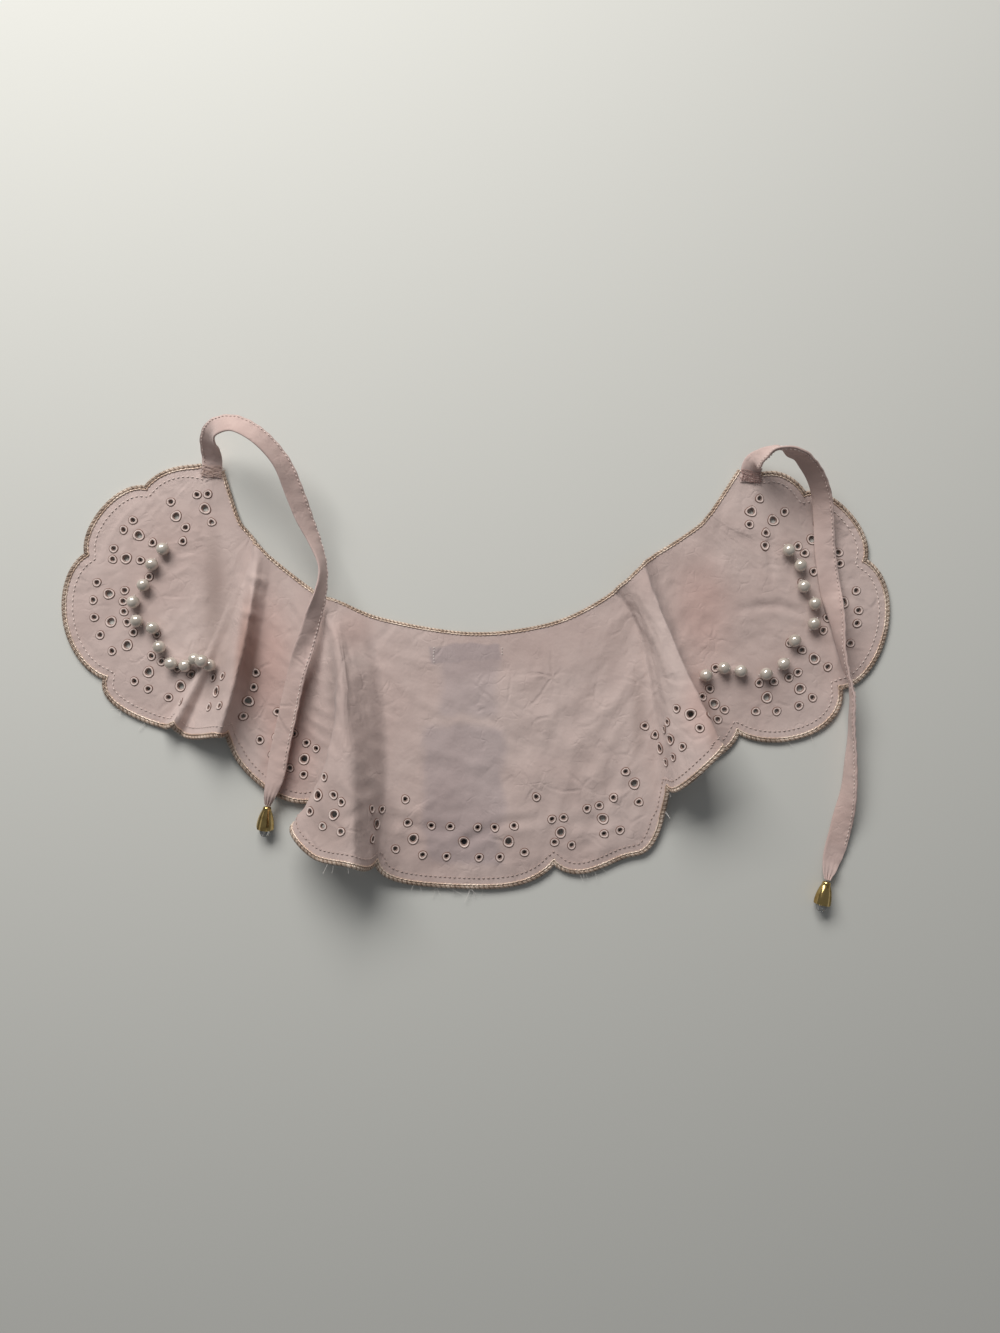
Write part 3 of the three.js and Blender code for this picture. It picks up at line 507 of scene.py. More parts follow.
def eyelets():
    """The eyelets of the solids first, then the inner row and the fillers beside the notches."""
    found = []
    spots = []

    def add(starts, inset, hole):
        stations, reaches = inward_from_edge(starts, inset)
        for station, reach, point in zip(stations, reaches, cloth_point(stations, reaches)):
            crowded = any(
                np.linalg.norm(point - spot) < (hole + other.hole) / 2 + EYELET_SPACING
                for spot, other in zip(spots, found)
            )
            if not crowded and reach > 0.1:
                found.append(Eyelet(station, reach, hole))
                spots.append(point)

    def starts_in(index, shares):
        return [NOTCHES[index] + share * (NOTCHES[index + 1] - NOTCHES[index]) for share in shares]

    def flanks(scallop, fan):
        """Shares on both sides of each large eyelet, fanned out from the middle of the scallop."""
        beside = [large + side for large in scallop.large for side in (-SMALL_FLANK, SMALL_FLANK)]
        shares = [0.5 + (share - 0.5) * fan for share in beside]
        return [share for share in shares if 0.03 < share < 0.97]

    for index, scallop in enumerate(SCALLOPS):
        add(starts_in(index, scallop.large), LARGE_INSET, LARGE_HOLE)
        add(starts_in(index, flanks(scallop, OUTER_FAN)), OUTER_INSET, SMALL_HOLE)
    for index, scallop in enumerate(SCALLOPS):
        add(starts_in(index, flanks(scallop, INNER_FAN)), INNER_INSET, SMALL_HOLE)
    add(NOTCHES[1:-1], FILLER_INSET, SMALL_HOLE)
    return found


def add_object(name, data):
    obj = bpy.data.objects.new(name, data)
    bpy.context.scene.collection.objects.link(obj)
    return obj


def make_object(name, points, groups, materials, smooth_below, uv=None, indices=None):
    """A mesh object in metres in the frame, from points in millimetres on the cloth's own lines."""
    loops = np.concatenate([group.ravel() for group in groups]).astype(np.int32)
    totals = np.concatenate([np.full(len(group), group.shape[1]) for group in groups])
    starts = np.concatenate([[0], np.cumsum(totals)[:-1]]).astype(np.int32)
    mesh = bpy.data.meshes.new(name)
    mesh.vertices.add(len(points))
    mesh.vertices.foreach_set("co", ((points + SHIFT) * MM).astype(np.float32).ravel())
    mesh.loops.add(len(loops))
    mesh.loops.foreach_set("vertex_index", loops)
    mesh.polygons.add(len(totals))
    mesh.polygons.foreach_set("loop_start", starts)
    mesh.polygons.foreach_set("use_smooth", np.ones(len(totals), bool))
    if indices is not None:
        mesh.polygons.foreach_set("material_index", np.asarray(indices, np.int32))
    mesh.update(calc_edges=True)
    if uv is not None:
        layer = mesh.uv_layers.new(name="cloth")
        layer.data.foreach_set("uv", uv[loops].astype(np.float32).ravel())
    mesh.set_sharp_from_angle(angle=math.radians(smooth_below))
    mesh.validate()
    for material in materials:
        mesh.materials.append(material)
    return add_object(name, mesh)


def dress(obj, slot, *nodes):
    """Ties a piece to the frame's root body and hides the nodes that it stands for. The slot is not used."""
    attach(obj, "root")
    if nodes:
        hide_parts(*nodes)
    return obj


def circle(radius, sides):
    angle = TURN * (np.arange(sides) + 0.5) / sides
    return radius * np.stack([np.cos(angle), np.sin(angle)], axis=-1)


def ring_faces(rows, around):
    """Quads of a tube of rows by around points, and fans to one point at each end that come after them."""
    row = np.arange(rows - 1)[:, None] * around
    here = np.arange(around)
    after = (here + 1) % around
    quads = np.stack([row + here, row + after, row + around + after, row + around + here], axis=-1)
    last = (rows - 1) * around
    start_fan = np.stack([np.full(around, rows * around), after, here], axis=-1)
    end_fan = np.stack([np.full(around, rows * around + 1), last + here, last + after], axis=-1)
    return [quads.reshape(-1, 4), np.concatenate([start_fan, end_fan])]


def tube(centres, side, face, section):
    """Points and faces of a closed tube whose section lies in the side and face directions."""
    points = centres[:, None] + side[:, None] * section[..., 0:1] + face[:, None] * section[..., 1:2]
    return np.concatenate([points.reshape(-1, 3), centres[[0, -1]]]), ring_faces(*points.shape[:2])


def thread(line, up, radius, sides):
    """A thin round tube along a line."""
    along = unit(np.gradient(line, axis=0))
    side = unit(np.cross(up, along))
    return tube(line, side, np.cross(along, side), circle(radius, sides))


def joined(tubes):
    """Several tubes as one set of points and faces."""
    firsts = np.cumsum([0] + [len(points) for points, groups in tubes])
    groups = [
        np.concatenate([groups[kind] + first for (points, groups), first in zip(tubes, firsts)])
        for kind in (0, 1)
    ]
    return np.concatenate([points for points, _ in tubes]), groups


def make_threads(name, tubes, material):
    return make_object(name, *joined(tubes), [material], ROUND)


def tube_uv(marks, sides, radius):
    """Millimetres along and round a tube, and those of its two end points."""
    row, around = np.meshgrid(marks, np.arange(sides), indexing="ij")
    uv = np.stack([row, around * radius], axis=-1).reshape(-1, 2)
    return np.concatenate([uv, uv[[0, -1]]])


def sheet_quads(number):
    """Quads between the points of a net, which are numbered in rows."""
    return np.stack([number[:-1, :-1], number[:-1, 1:], number[1:, 1:], number[1:, :-1]], axis=-1)


def closed_sheet(quads, count):
    """Faces of a thin sheet: its top, its underside with the points that come after, and walls between."""
    edges = np.concatenate([quads[:, [k, (k + 1) % 4]] for k in range(4)]).tolist()
    known = {(a, b) for a, b in edges}
    a, b = np.array([(a, b) for a, b in edges if (b, a) not in known]).T
    return [quads, quads[:, ::-1] + count, np.stack([b, a, a + count, b + count], axis=-1)]


# Materials

def linear(red, green, blue):
    """A colour given as 0 to 255 on the screen, as the shader takes it."""
    def one(value):
        value = value / 255
        return value / 12.92 if value <= 0.04045 else ((value + 0.055) / 1.055) ** 2.4
    return (one(red), one(green), one(blue), 1)


class Shader:
    """A material's node tree with short calls for the nodes that these materials use."""

    def __init__(self, name, roughness, metallic=0.0, **sockets):
        self.material = bpy.data.materials.new(name)
        self.material.use_nodes = True
        self.tree = self.material.node_tree
        self.bsdf = self.tree.nodes["Principled BSDF"]
        self.coords = self.tree.nodes.new("ShaderNodeTexCoord")
        for socket, value in {"Roughness": roughness, "Metallic": metallic, **sockets}.items():
            self.bsdf.inputs[socket.replace("_", " ")].default_value = value

    def node(self, kind, inputs=(), **settings):
        made = self.tree.nodes.new(kind)
        for name, value in settings.items():
            setattr(made, name, value)
        for socket, value in dict(inputs).items():
            self.feed(made.inputs[socket], value)
        return made

    def feed(self, socket, value):
        if isinstance(value, bpy.types.NodeSocket):
            self.tree.links.new(value, socket)
        else:
            socket.default_value = value

    def axes(self, vector="Object"):
        """The coordinates one by one."""
        return self.node("ShaderNodeSeparateXYZ", {"Vector": self.coords.outputs[vector]}).outputs

    def noise(self, scale, detail=3.0, vector="Object", stretch=(1, 1, 1)):
        mapped = self.node("ShaderNodeMapping", {"Vector": self.coords.outputs[vector], "Scale": stretch})
        made = self.node("ShaderNodeTexNoise", {
            "Vector": mapped.outputs["Vector"], "Scale": scale, "Detail": detail})
        return made.outputs["Fac"]

    def wave(self, period, direction="X", distortion=0.0):
        """Even bands with this period in the UVs' own units."""
        made = self.node("ShaderNodeTexWave", {
            "Vector": self.coords.outputs["UV"], "Scale": TURN / 20 / period,
            "Distortion": distortion}, bands_direction=direction)
        return made.outputs["Fac"]

    def creases(self, scale, softness):
        """Straight-edged crumples: the net of lines between scattered cells, bent a little by noise."""
        bent = self.node("ShaderNodeTexNoise", {
            "Vector": self.coords.outputs["Object"], "Scale": scale * 0.9, "Detail": 2.0})
        moved = self.node("ShaderNodeVectorMath", {
            0: bent.outputs["Color"], 1: (0.6 / scale,) * 3}, operation="MULTIPLY")
        spot = self.node("ShaderNodeVectorMath", {
            0: self.coords.outputs["Object"], 1: moved.outputs[0]}, operation="ADD")
        cells = self.node("ShaderNodeTexVoronoi", {
            "Vector": spot.outputs[0], "Scale": scale}, feature="DISTANCE_TO_EDGE")
        fold = self.spread(cells.outputs["Distance"], 0.0, softness)
        return self.maths("MULTIPLY", fold, self.spread(self.noise(scale * 0.6, 2), 0.46, 0.74))

    def maths(self, operation, first, second=0.0, third=0.0):
        return self.node("ShaderNodeMath", {0: first, 1: second, 2: third}, operation=operation).outputs[0]

    def spread(self, value, low, high, start=0.0, end=1.0):
        made = self.node("ShaderNodeMapRange", {
            "Value": value, "From Min": low, "From Max": high, "To Min": start, "To Max": end},
            interpolation_type="SMOOTHSTEP")
        return made.outputs["Result"]

    def mix(self, share, first, second):
        made = self.node("ShaderNodeMix", data_type="RGBA")
        for socket, value in ((0, share), (6, first), (7, second)):
            self.feed(made.inputs[socket], value)
        return made.outputs[2]

    def blotched(self, scale, detail, low, high, first, second, most=1.0):
        """A colour with blotches of another one."""
        return self.mix(self.spread(self.noise(scale, detail), low, high, 0, most), first, second)

    def colour(self, value):
        self.feed(self.bsdf.inputs["Base Color"], value)

    def bump(self, height, distance):
        """Bumps of this height in millimetres, added to those that are there."""
        inputs = {"Height": height, "Distance": distance * MM}
        if self.bsdf.inputs["Normal"].is_linked:
            inputs["Normal"] = self.bsdf.inputs["Normal"].links[0].from_socket
        made = self.node("ShaderNodeBump", inputs)
        self.tree.links.new(made.outputs["Normal"], self.bsdf.inputs["Normal"])


THREAD_PITCH = 0.42


def weave(shader):
    """Plain weave: warp and weft threads, a little uneven, on UVs in millimetres."""
    warp = shader.wave(THREAD_PITCH, "X", distortion=0.4)
    weft = shader.wave(THREAD_PITCH, "Y", distortion=0.4)
    slub = shader.noise(0.35, 2, "UV", (1, 0.12, 1))
    threads = shader.maths("MULTIPLY_ADD", shader.maths("MAXIMUM", warp, weft), 0.75, slub)
    shader.bump(threads, 0.06)


# Parts of the dark label that show through the cloth as soft grey patches: left and right edge from the
# middle of the label, top and bottom edge below its top, how far the edges fade, and how dark it is.
Patch = namedtuple("Patch", "left right top bottom fade share")
PATCHES = [
    Patch(-20, 20, 0, 12, 2.5, 0.34),
    Patch(-16, 19, 8, 44, 8, 0.26),
    Patch(-25, 22, 50, 132, 7, 0.3),
]


def label_shade(shader, axes):
    """How dark the label makes the cloth over it."""
    ragged = shader.maths("MULTIPLY_ADD", shader.noise(38, 4), 0.016, -0.008)
    across = shader.maths("SUBTRACT", axes["X"], label_middle[0] * MM)
    below = shader.maths("SUBTRACT", label_high[1] * MM, axes["Y"])
    across = shader.maths("ADD", across, ragged)
    below = shader.maths("SUBTRACT", below, ragged)
    total = 0.0
    for patch in PATCHES:
        left, right, top, bottom, fade = (value * MM for value in patch[:5])
        shade = patch.share
        for where, low, high in ((across, left, right), (below, top, bottom)):
            inside = shader.spread(where, low - fade / 2, low + fade / 2)
            not_past = shader.spread(where, high - fade / 2, high + fade / 2, 1, 0)
            shade = shader.maths("MULTIPLY", not_past, shader.maths("MULTIPLY", inside, shade))
        total = shader.maths("MAXIMUM", shade, total)
    return total


# Tints for the spots below: pink for painted bounce light, grey and brown for painted shade.
PAINTED_BOUNCE_PINK = linear(196, 148, 136)
PAINTED_SHADE_GREY = linear(128, 108, 100)
PAINTED_SHADE_BROWN = linear(132, 92, 76)
LABEL_TINT = linear(132, 126, 136)
PALE_FLECK = linear(232, 212, 203)

# Spots of painted light and shade on the cloth: pink spots are painted bounce light and grey and brown spots
# are painted shade, in and beside the folds. Across and up in hundredths, half width and half height in
# millimetres, how strong the tint is, and the tint.
PaintedLightSpot = namedtuple("PaintedLightSpot", "across up wide tall share tint")
PAINTED_LIGHT_SPOTS = [
    PaintedLightSpot(-25.2, 55, 16, 42, 0.36, PAINTED_BOUNCE_PINK),
    PaintedLightSpot(-22.5, 33, 16, 26, 0.32, PAINTED_BOUNCE_PINK),
    PaintedLightSpot(27, 66, 20, 34, 0.3, PAINTED_BOUNCE_PINK),
    PaintedLightSpot(26, 44, 12, 24, 0.28, PAINTED_BOUNCE_PINK),
    PaintedLightSpot(-14.5, 62, 12, 14, 0.2, PAINTED_BOUNCE_PINK),
    PaintedLightSpot(-31.4, 74, 6, 34, 0.34, PAINTED_SHADE_GREY),
    PaintedLightSpot(-30.6, 59, 13, 46, 0.34, PAINTED_SHADE_GREY),
    PaintedLightSpot(-26.9, 56, 6, 36, 0.5, PAINTED_SHADE_BROWN),
    PaintedLightSpot(-16.3, 17.5, 15, 24, 0.3, PAINTED_SHADE_GREY),
    PaintedLightSpot(27.4, 38, 5, 20, 0.3, PAINTED_SHADE_BROWN),
    PaintedLightSpot(19.5, 42, 5, 26, 0.3, PAINTED_SHADE_GREY),
    PaintedLightSpot(-16.5, 50, 5, 30, 0.25, PAINTED_SHADE_GREY),
]


# Mixes the spots of painted shade and painted bounce light into the cloth's colour, each strongest in its
# middle.
def painted_shade_and_bounce(shader, axes, tone):
    for spot in PAINTED_LIGHT_SPOTS:
        x, y = (place([spot.across, spot.up, 0]) + SHIFT)[:2] * MM
        across = shader.maths("DIVIDE", shader.maths("SUBTRACT", axes["X"], x), spot.wide * MM)
        along = shader.maths("DIVIDE", shader.maths("SUBTRACT", axes["Y"], y), spot.tall * MM)
        squares = [shader.maths("MULTIPLY", value, value) for value in (across, along)]
        distance = shader.maths("SQRT", shader.maths("ADD", *squares))
        tone = shader.mix(shader.spread(distance, 0.2, 1.4, spot.share, 0), tone, spot.tint)
    return tone


# Fine creases of the cotton: cells to a metre, softness of the lines and their height in millimetres.
FINE_CREASES = [(26, 0.12, 0.4), (62, 0.12, 0.28), (150, 0.13, 0.12)]


def cotton(name, lit, shaded, is_panel):
    """Washed cotton. The panel also has the label's shadow and spots of painted shade and painted bounce
    light.
    """
    shader = Shader(name, 0.88, Sheen_Weight=0.18, Sheen_Roughness=0.5, Specular_IOR_Level=0.25)
    tone = shader.blotched(14, 3, 0.3, 0.7, shaded, lit)
    tone = shader.blotched(120, 4, 0.25, 0.917, tone, PALE_FLECK, 0.14)
    if is_panel:
        axes = shader.axes()
        tone = shader.mix(label_shade(shader, axes), tone, LABEL_TINT)
        # Painted shade and painted bounce light in spots on the panel.
        tone = painted_shade_and_bounce(shader, axes, tone)
    shader.colour(tone)
    weave(shader)
    shader.bump(shader.noise(420, 3), 0.16)
    for scale, softness, height in FINE_CREASES:
        shader.bump(shader.creases(scale, softness), height)
    return shader.material


def braided(name, dark, light, roughness):
    """Fine metallic thread with fine pale specks of painted glint: UVs run in millimetres along and round each
    strand.
    """
    shader = Shader(name, roughness, 0.3)
    tone = shader.blotched(90, 3, 0.35, 0.65, dark, light)
    # Fine pale specks of painted glint over the thread's own blotchy tone.
    shader.colour(shader.blotched(900, 2, 0.5, 0.75, tone, linear(236, 205, 178), 0.5))
    shader.bump(shader.wave(0.5, "DIAGONAL"), 0.06)
    shader.bump(shader.noise(900, 2), 0.08)
    return shader.material


def sewing_thread(name, dark, light, fades_low=False):
    """Sewing thread that is pale or darker by patches, or darker toward the lower edge of the collar."""
    shader = Shader(name, 0.5)
    fine = shader.maths("MULTIPLY", shader.noise(600, 2), 0.4)
    if fades_low:
        slow = shader.spread(shader.axes()["Y"], -0.055, -0.01, 0.1, 0.6)
    else:
        slow = shader.spread(shader.noise(22, 2), 0.38, 0.58, 0.2, 0.6)
    shader.colour(shader.mix(shader.maths("ADD", slow, fine), dark, light))
    shader.bump(shader.wave(0.35, "DIAGONAL"), 0.04)
    return shader.material


def rim_material():
    """Satin stitch round an eyelet, pale on its crest, with painted shade in the hole and along its outer
    foot: UV X counts the stitches, and Y runs from the hole's side outward.
    """
    shader = Shader("rim thread with painted shade", 0.55, Sheen_Weight=0.25)
    outward = shader.axes("UV")["Y"]
    stitched = shader.mix(shader.noise(300, 2), linear(216, 192, 182), linear(236, 216, 207))
    # Painted shade in the hole: mid-brown deep down and dark brown at its lip.
    wall = shader.mix(shader.spread(outward, 0.1, 0.18), linear(196, 162, 148), linear(104, 72, 62))
    inside = shader.mix(shader.spread(outward, 0.22, 0.36), wall, stitched)
    # Painted shade in dark brown along the outer foot of the rim.
    shader.colour(shader.mix(shader.spread(outward, 0.72, 0.86), inside, linear(112, 78, 66)))
    shader.bump(shader.wave(1.0, "X"), 0.12)
    return shader.material


def pearl_material():
    shader = Shader("pearl", 0.22, 0.2, Coat_Weight=1.0, Coat_Roughness=0.05, Coat_IOR=1.8)
    tone = shader.blotched(160, 3, 0.35, 0.65, linear(206, 196, 184), linear(184, 173, 160))
    shader.colour(shader.blotched(90, 2, 0.5, 0.75, tone, linear(204, 184, 170), 0.35))
    shader.bump(shader.noise(500, 2), 0.015)
    return shader.material


def brass_material():
    shader = Shader("bell brass", 0.26, 1.0)
    shader.colour(shader.blotched(260, 4, 0.45, 0.7, linear(206, 178, 118), linear(174, 144, 88)))
    shader.feed(shader.bsdf.inputs["Roughness"], shader.spread(shader.noise(300, 3), 0.3, 0.7, 0.13, 0.22))
    shader.bump(shader.noise(420, 3), 0.008)
    return shader.material


def crystal_material():
    shader = Shader("crystal", 0.03, IOR=1.65, Coat_Weight=0.5, Transmission_Weight=0.85)
    shader.colour(linear(235, 236, 238))
    shader.bump(shader.noise(900, 2), 0.01)
    return shader.material


def label_material():
    shader = Shader("label cloth", 0.85, Sheen_Weight=0.2)
    shader.colour(shader.mix(shader.noise(70, 3), linear(38, 37, 42), linear(56, 55, 60)))
    weave(shader)
    return shader.material


PANEL_COTTON = cotton("panel cotton", linear(200, 180, 173), linear(188, 166, 159), True)
TIE_COTTON = cotton("tie cotton", linear(202, 178, 171), linear(187, 162, 154), False)
HEM_BRAID = braided("hem braid", linear(168, 149, 134), linear(212, 195, 180), 0.5)
NECK_BRAID = braided("neck braid", linear(184, 162, 144), linear(226, 207, 190), 0.5)
DARK_BRAID = braided("dark braid", linear(122, 101, 87), linear(162, 141, 125), 0.55)
GILT_THREAD = braided("gilt thread", linear(204, 176, 156), linear(242, 222, 204), 0.36)
SEAM_THREAD = sewing_thread("seam thread", linear(180, 154, 144), linear(246, 230, 222))
HEM_THREAD = sewing_thread("hem thread", linear(150, 122, 111), linear(248, 232, 224), fades_low=True)
WHITE_THREAD = sewing_thread("white thread", linear(214, 205, 198), linear(238, 232, 226))
TACK_THREAD = sewing_thread("tack thread", linear(106, 82, 72), linear(204, 178, 164))
# The right tack's thread has the colour of cloth in shade: painted shade.
TACK_THREAD_IN_PAINTED_SHADE = sewing_thread("tack thread in painted shade", linear(104, 72, 68), linear(176, 138, 130))
RIM_THREAD_WITH_PAINTED_SHADE = rim_material()
PEARL = pearl_material()
BRASS = brass_material()
CRYSTAL = crystal_material()
LABEL_CLOTH = label_material()

# The cloth panel

PANEL_COLUMN = 1.7
PANEL_ROWS = 76
CUT_UNDER_RIM = 0.5


def hole_map(stations, reach, holes):
    """The cloth's net with the points round each hole drawn to its circle, and which cells are kept."""
    net_station = np.repeat(stations[:, None], reach.shape[1], axis=1)
    net_reach = reach.copy()
    kept = np.ones((reach.shape[0] - 1, reach.shape[1] - 1), bool)
    for eyelet in holes:
        by_station, by_reach = cloth_slopes(np.array(eyelet.station), np.array(eyelet.reach))
        radius = eyelet.hole / 2 + CUT_UNDER_RIM * RIM_WIDTH
        near_by = 3 * radius / np.linalg.norm(by_station)
        columns = np.nonzero(abs(stations - eyelet.station) < near_by)[0]
        low, high = max(columns[0] - 1, 0), min(columns[-1] + 2, len(stations))
        part_station = net_station[low:high] - eyelet.station
        part_reach = net_reach[low:high] - eyelet.reach
        away = part_station[..., None] * by_station + part_reach[..., None] * by_reach
        middle = (away[:-1, :-1] + away[1:, :-1] + away[:-1, 1:] + away[1:, 1:]) / 4
        gone = np.linalg.norm(middle, axis=-1) < radius
        cells = kept[low:high - 1]
        cells &= ~gone
        touched = np.zeros(part_station.shape, bool)
        spared = np.zeros(part_station.shape, bool)
        for i in (0, 1):
            for j in (0, 1):
                corner = (slice(i, i + gone.shape[0]), slice(j, j + gone.shape[1]))
                touched[corner] |= gone
                spared[corner] |= cells
        edge = touched & spared
        scale = np.where(edge, radius / np.maximum(np.linalg.norm(away, axis=-1), 0.05), 1)
        net_station[low:high] = eyelet.station + part_station * scale
        net_reach[low:high] = eyelet.reach + part_reach * scale
    return net_station, net_reach, kept


def make_panel(holes):
    """The cloth with its holes and its thickness, and its area in square metres."""
    stations = divided_marks(KNOTS, PANEL_COLUMN)
    row = np.arange(PANEL_ROWS + 1) / PANEL_ROWS
    share = row * (1.25 - 0.25 * row)
    reach = edge_reach(stations)[:, None] * share[None, :]
    net_station, net_reach, kept = hole_map(stations, reach, holes)
    middle, normal = surface(net_station, net_reach)
    half = normal * CLOTH_THICKNESS / 2
    points = np.concatenate([(middle + half).reshape(-1, 3), (middle - half).reshape(-1, 3)])
    uv = np.tile(pattern(net_station, net_reach).reshape(-1, 2), (2, 1))
    number = np.arange(net_reach.size).reshape(net_reach.shape)
    groups = closed_sheet(sheet_quads(number)[kept], number.size)
    used = np.zeros(2 * number.size, bool)
    used[np.concatenate([group.ravel() for group in groups])] = True
    renumber = np.cumsum(used) - 1
    corner = middle[:-1, :-1]
    area = np.linalg.norm(np.cross(middle[1:, :-1] - corner, middle[:-1, 1:] - corner), axis=-1)
    panel = make_object("cotton_panel", points[used], [renumber[group] for group in groups], [PANEL_COTTON],
                        SOFT, uv[used])
    return panel, area.sum() * MM * MM


# The section of a rim from its outer foot over the crest and down the hole: how far it is from the outer edge
# to the hole's, past 1 where it leans into the hole, its height over the middle of the cloth, and its place
# in the colours of the rim, whose outer foot and hole are darkened with painted shade.
RimPoint = namedtuple("RimPoint", "inward height shade")
RIM_SECTION = [
    RimPoint(0, 0.55, 1),
    RimPoint(0.26, 1, 0.85),
    RimPoint(0.55, 1.2, 0.6),
    RimPoint(0.8, 1, 0.4),
    RimPoint(1, 0.5, 0.2),
    RimPoint(1.25, -0.35, 0),
    RimPoint(1, -0.8, 0),
    RimPoint(0.05, -0.75, 1),
]

RIM_SIDES = 24
RIM_STITCHES = 30


def make_rims(holes):
    """A satin-stitched ring round every eyelet, through the cloth from face to face."""
    angle = TURN * np.arange(RIM_SIDES) / RIM_SIDES
    inward, height, shade = np.array(RIM_SECTION).T
    number = np.arange(RIM_SIDES * len(RIM_SECTION)).reshape(RIM_SIDES, -1)
    after = np.roll(number, -1, axis=0)
    quads = np.stack([np.roll(number, -1, axis=1), np.roll(after, -1, axis=1), after, number], axis=-1)
    stitch = RIM_STITCHES * np.arange(RIM_SIDES) / RIM_SIDES
    uv = np.stack(np.broadcast_arrays(stitch[:, None], shade), axis=-1).reshape(-1, 2)
    points = []
    for eyelet in holes:
        by_station, by_reach = cloth_slopes(np.array(eyelet.station), np.array(eyelet.reach))
        along = unit(by_station)
        aside = np.cross(unit(np.cross(by_reach, by_station)), along)
        out = eyelet.hole / 2 + RIM_WIDTH - inward * (RIM_WIDTH + RIM_OVERLAP)
        wobble = 0.05 * np.sin(2 * angle + eyelet.station) + 0.035 * np.sin(3 * angle + 2 * eyelet.station)
        spoke = along * np.cos(angle)[:, None] + aside * np.sin(angle)[:, None]
        move = spoke[:, None] * (out * (1 + wobble)[:, None])[..., None]
        d_station, d_reach = solved(by_station, by_reach, move)
        spot, face = surface(eyelet.station + d_station, eyelet.reach + d_reach)
        points.append((spot + face * height[:, None]).reshape(-1, 3))
    points = np.concatenate(points)
    points[:, 2] = np.maximum(points[:, 2], LOWEST)
    all_quads = np.concatenate([quads.reshape(-1, 4) + number.size * index for index in range(len(holes))])
    return make_object("eyelet_rims", points, [all_quads], [RIM_THREAD_WITH_PAINTED_SHADE], ROUND, np.tile(uv, (len(holes), 1)))


holes = eyelets()
panel, panel_area = make_panel(holes)
dress(panel, "cotton", "collar_panel")
rims = dress(make_rims(holes), "cotton")

# Cords and stitches along the edges

Edge = namedtuple("Edge", "station reach point normal outward")
EDGE_STEP = 0.6
EDGE_PROBE = 0.02

# Cords: steps along them, the length of one turn, and how far from the middle and how thick each strand is,
# as shares of the diameter.
CORD_STEP = 0.42
HEM_PITCH = 2.9
NECK_PITCH = 2.3
STRAND_ORBIT = 0.22
STRAND_RADIUS = 0.24

# The radius of the bright thread at the hem and the neckline.
HEM_GILT = 0.42
NECK_GILT = 0.38

# How far the bright thread wavers and swells, and the length of one such wave.
GILT_WAVER = 0.12
GILT_WAVER_LENGTH = 2.9
GILT_SWELL = 0.3
GILT_SWELL_LENGTH = 2.4

# Threads and strands have this many sides, and the finest fibres fewer.
SIDES = 6
FIBRE_SIDES = 4
FIBRE_RADIUS = 0.09


def edge_line(at_hem, step=EDGE_STEP):
    """Points on an edge of the cloth, and the directions square to the cloth and out of it."""
    station = divided_marks(KNOTS, step)
    reach = edge_reach(station) if at_hem else np.zeros_like(station)
    point, normal = surface(station, reach)
    inner, _ = surface(station, reach + (-EDGE_PROBE if at_hem else EDGE_PROBE))
    outward = unit(np.cross(unit(np.gradient(point, axis=0)), normal))
    wrong_way = (outward * (point - inner)).sum(-1, keepdims=True) < 0
    return Edge(station, reach, point, normal, outward * np.where(wrong_way, -1, 1))


def smoothed(line, width):
    """A running mean along a line, with its ends kept."""
    padded = np.concatenate([np.repeat(line[:1], width, 0), line, np.repeat(line[-1:], width, 0)])
    window = np.ones(2 * width + 1) / (2 * width + 1)
    return np.stack([np.convolve(column, window, "valid") for column in padded.T], axis=1)


def twisted_cord(name, at_hem, diameter, pitch, materials):
    """A cord of twisted strands beside an edge, one strand for each material."""
    edge = edge_line(at_hem)
    centre = smoothed(edge.point + edge.outward * (diameter / 2 + SEAM_GAP / 2), 2)
    centre[:, 2] = np.maximum(centre[:, 2], diameter / 2)
    lengths = running_lengths(centre)
    marks = np.linspace(0, lengths[-1], round(lengths[-1] / CORD_STEP) + 1)
    line = at_marks(marks, lengths, centre)
    along = unit(np.gradient(smoothed(line, 3), axis=0))
    face = square_to(unit(at_marks(marks, lengths, edge.normal)), along)
    side = np.cross(face, along)
    orbit = diameter * STRAND_ORBIT
    thick = diameter * STRAND_RADIUS
    tubes = []
    for strand in range(len(materials)):
        turn = TURN * (marks / pitch + strand / len(materials))
        middle = line + side * (orbit * np.cos(turn))[:, None] + face * (orbit * np.sin(turn))[:, None]
        tubes.append(tube(middle, side, face, circle(thick, SIDES)))
    points, groups = joined(tubes)
    indices = [np.repeat(np.arange(len(tubes)), len(group) // len(tubes)) for group in groups]
    uv = np.tile(tube_uv(marks, SIDES, thick), (len(tubes), 1))
    return make_object(name, points, groups, materials, ROUND, uv, np.concatenate(indices))


def gilt_line(name, at_hem, radius):
    """A thin bright thread laid along the join of the cloth and its cord, with a slight waver."""
    edge = edge_line(at_hem)
    over = CLOTH_THICKNESS / 2 + radius / 2
    middle = smoothed(edge.point + edge.outward * SEAM_GAP / 2 + edge.normal * over, 1)
    marks = running_lengths(middle)
    waver = GILT_WAVER * np.sin(TURN * marks / GILT_WAVER_LENGTH)
    middle = middle + edge.outward * waver[:, None]
    along = unit(np.gradient(smoothed(middle, 2), axis=0))
    face = square_to(edge.normal, along)
    swell = 1 + GILT_SWELL * np.sin(TURN * marks / GILT_SWELL_LENGTH)
    section = circle(radius, SIDES) * swell[:, None, None]
    points, groups = tube(middle, np.cross(face, along), face, section)
    return make_object(name, points, groups, [GILT_THREAD], ROUND, tube_uv(marks, SIDES, radius))


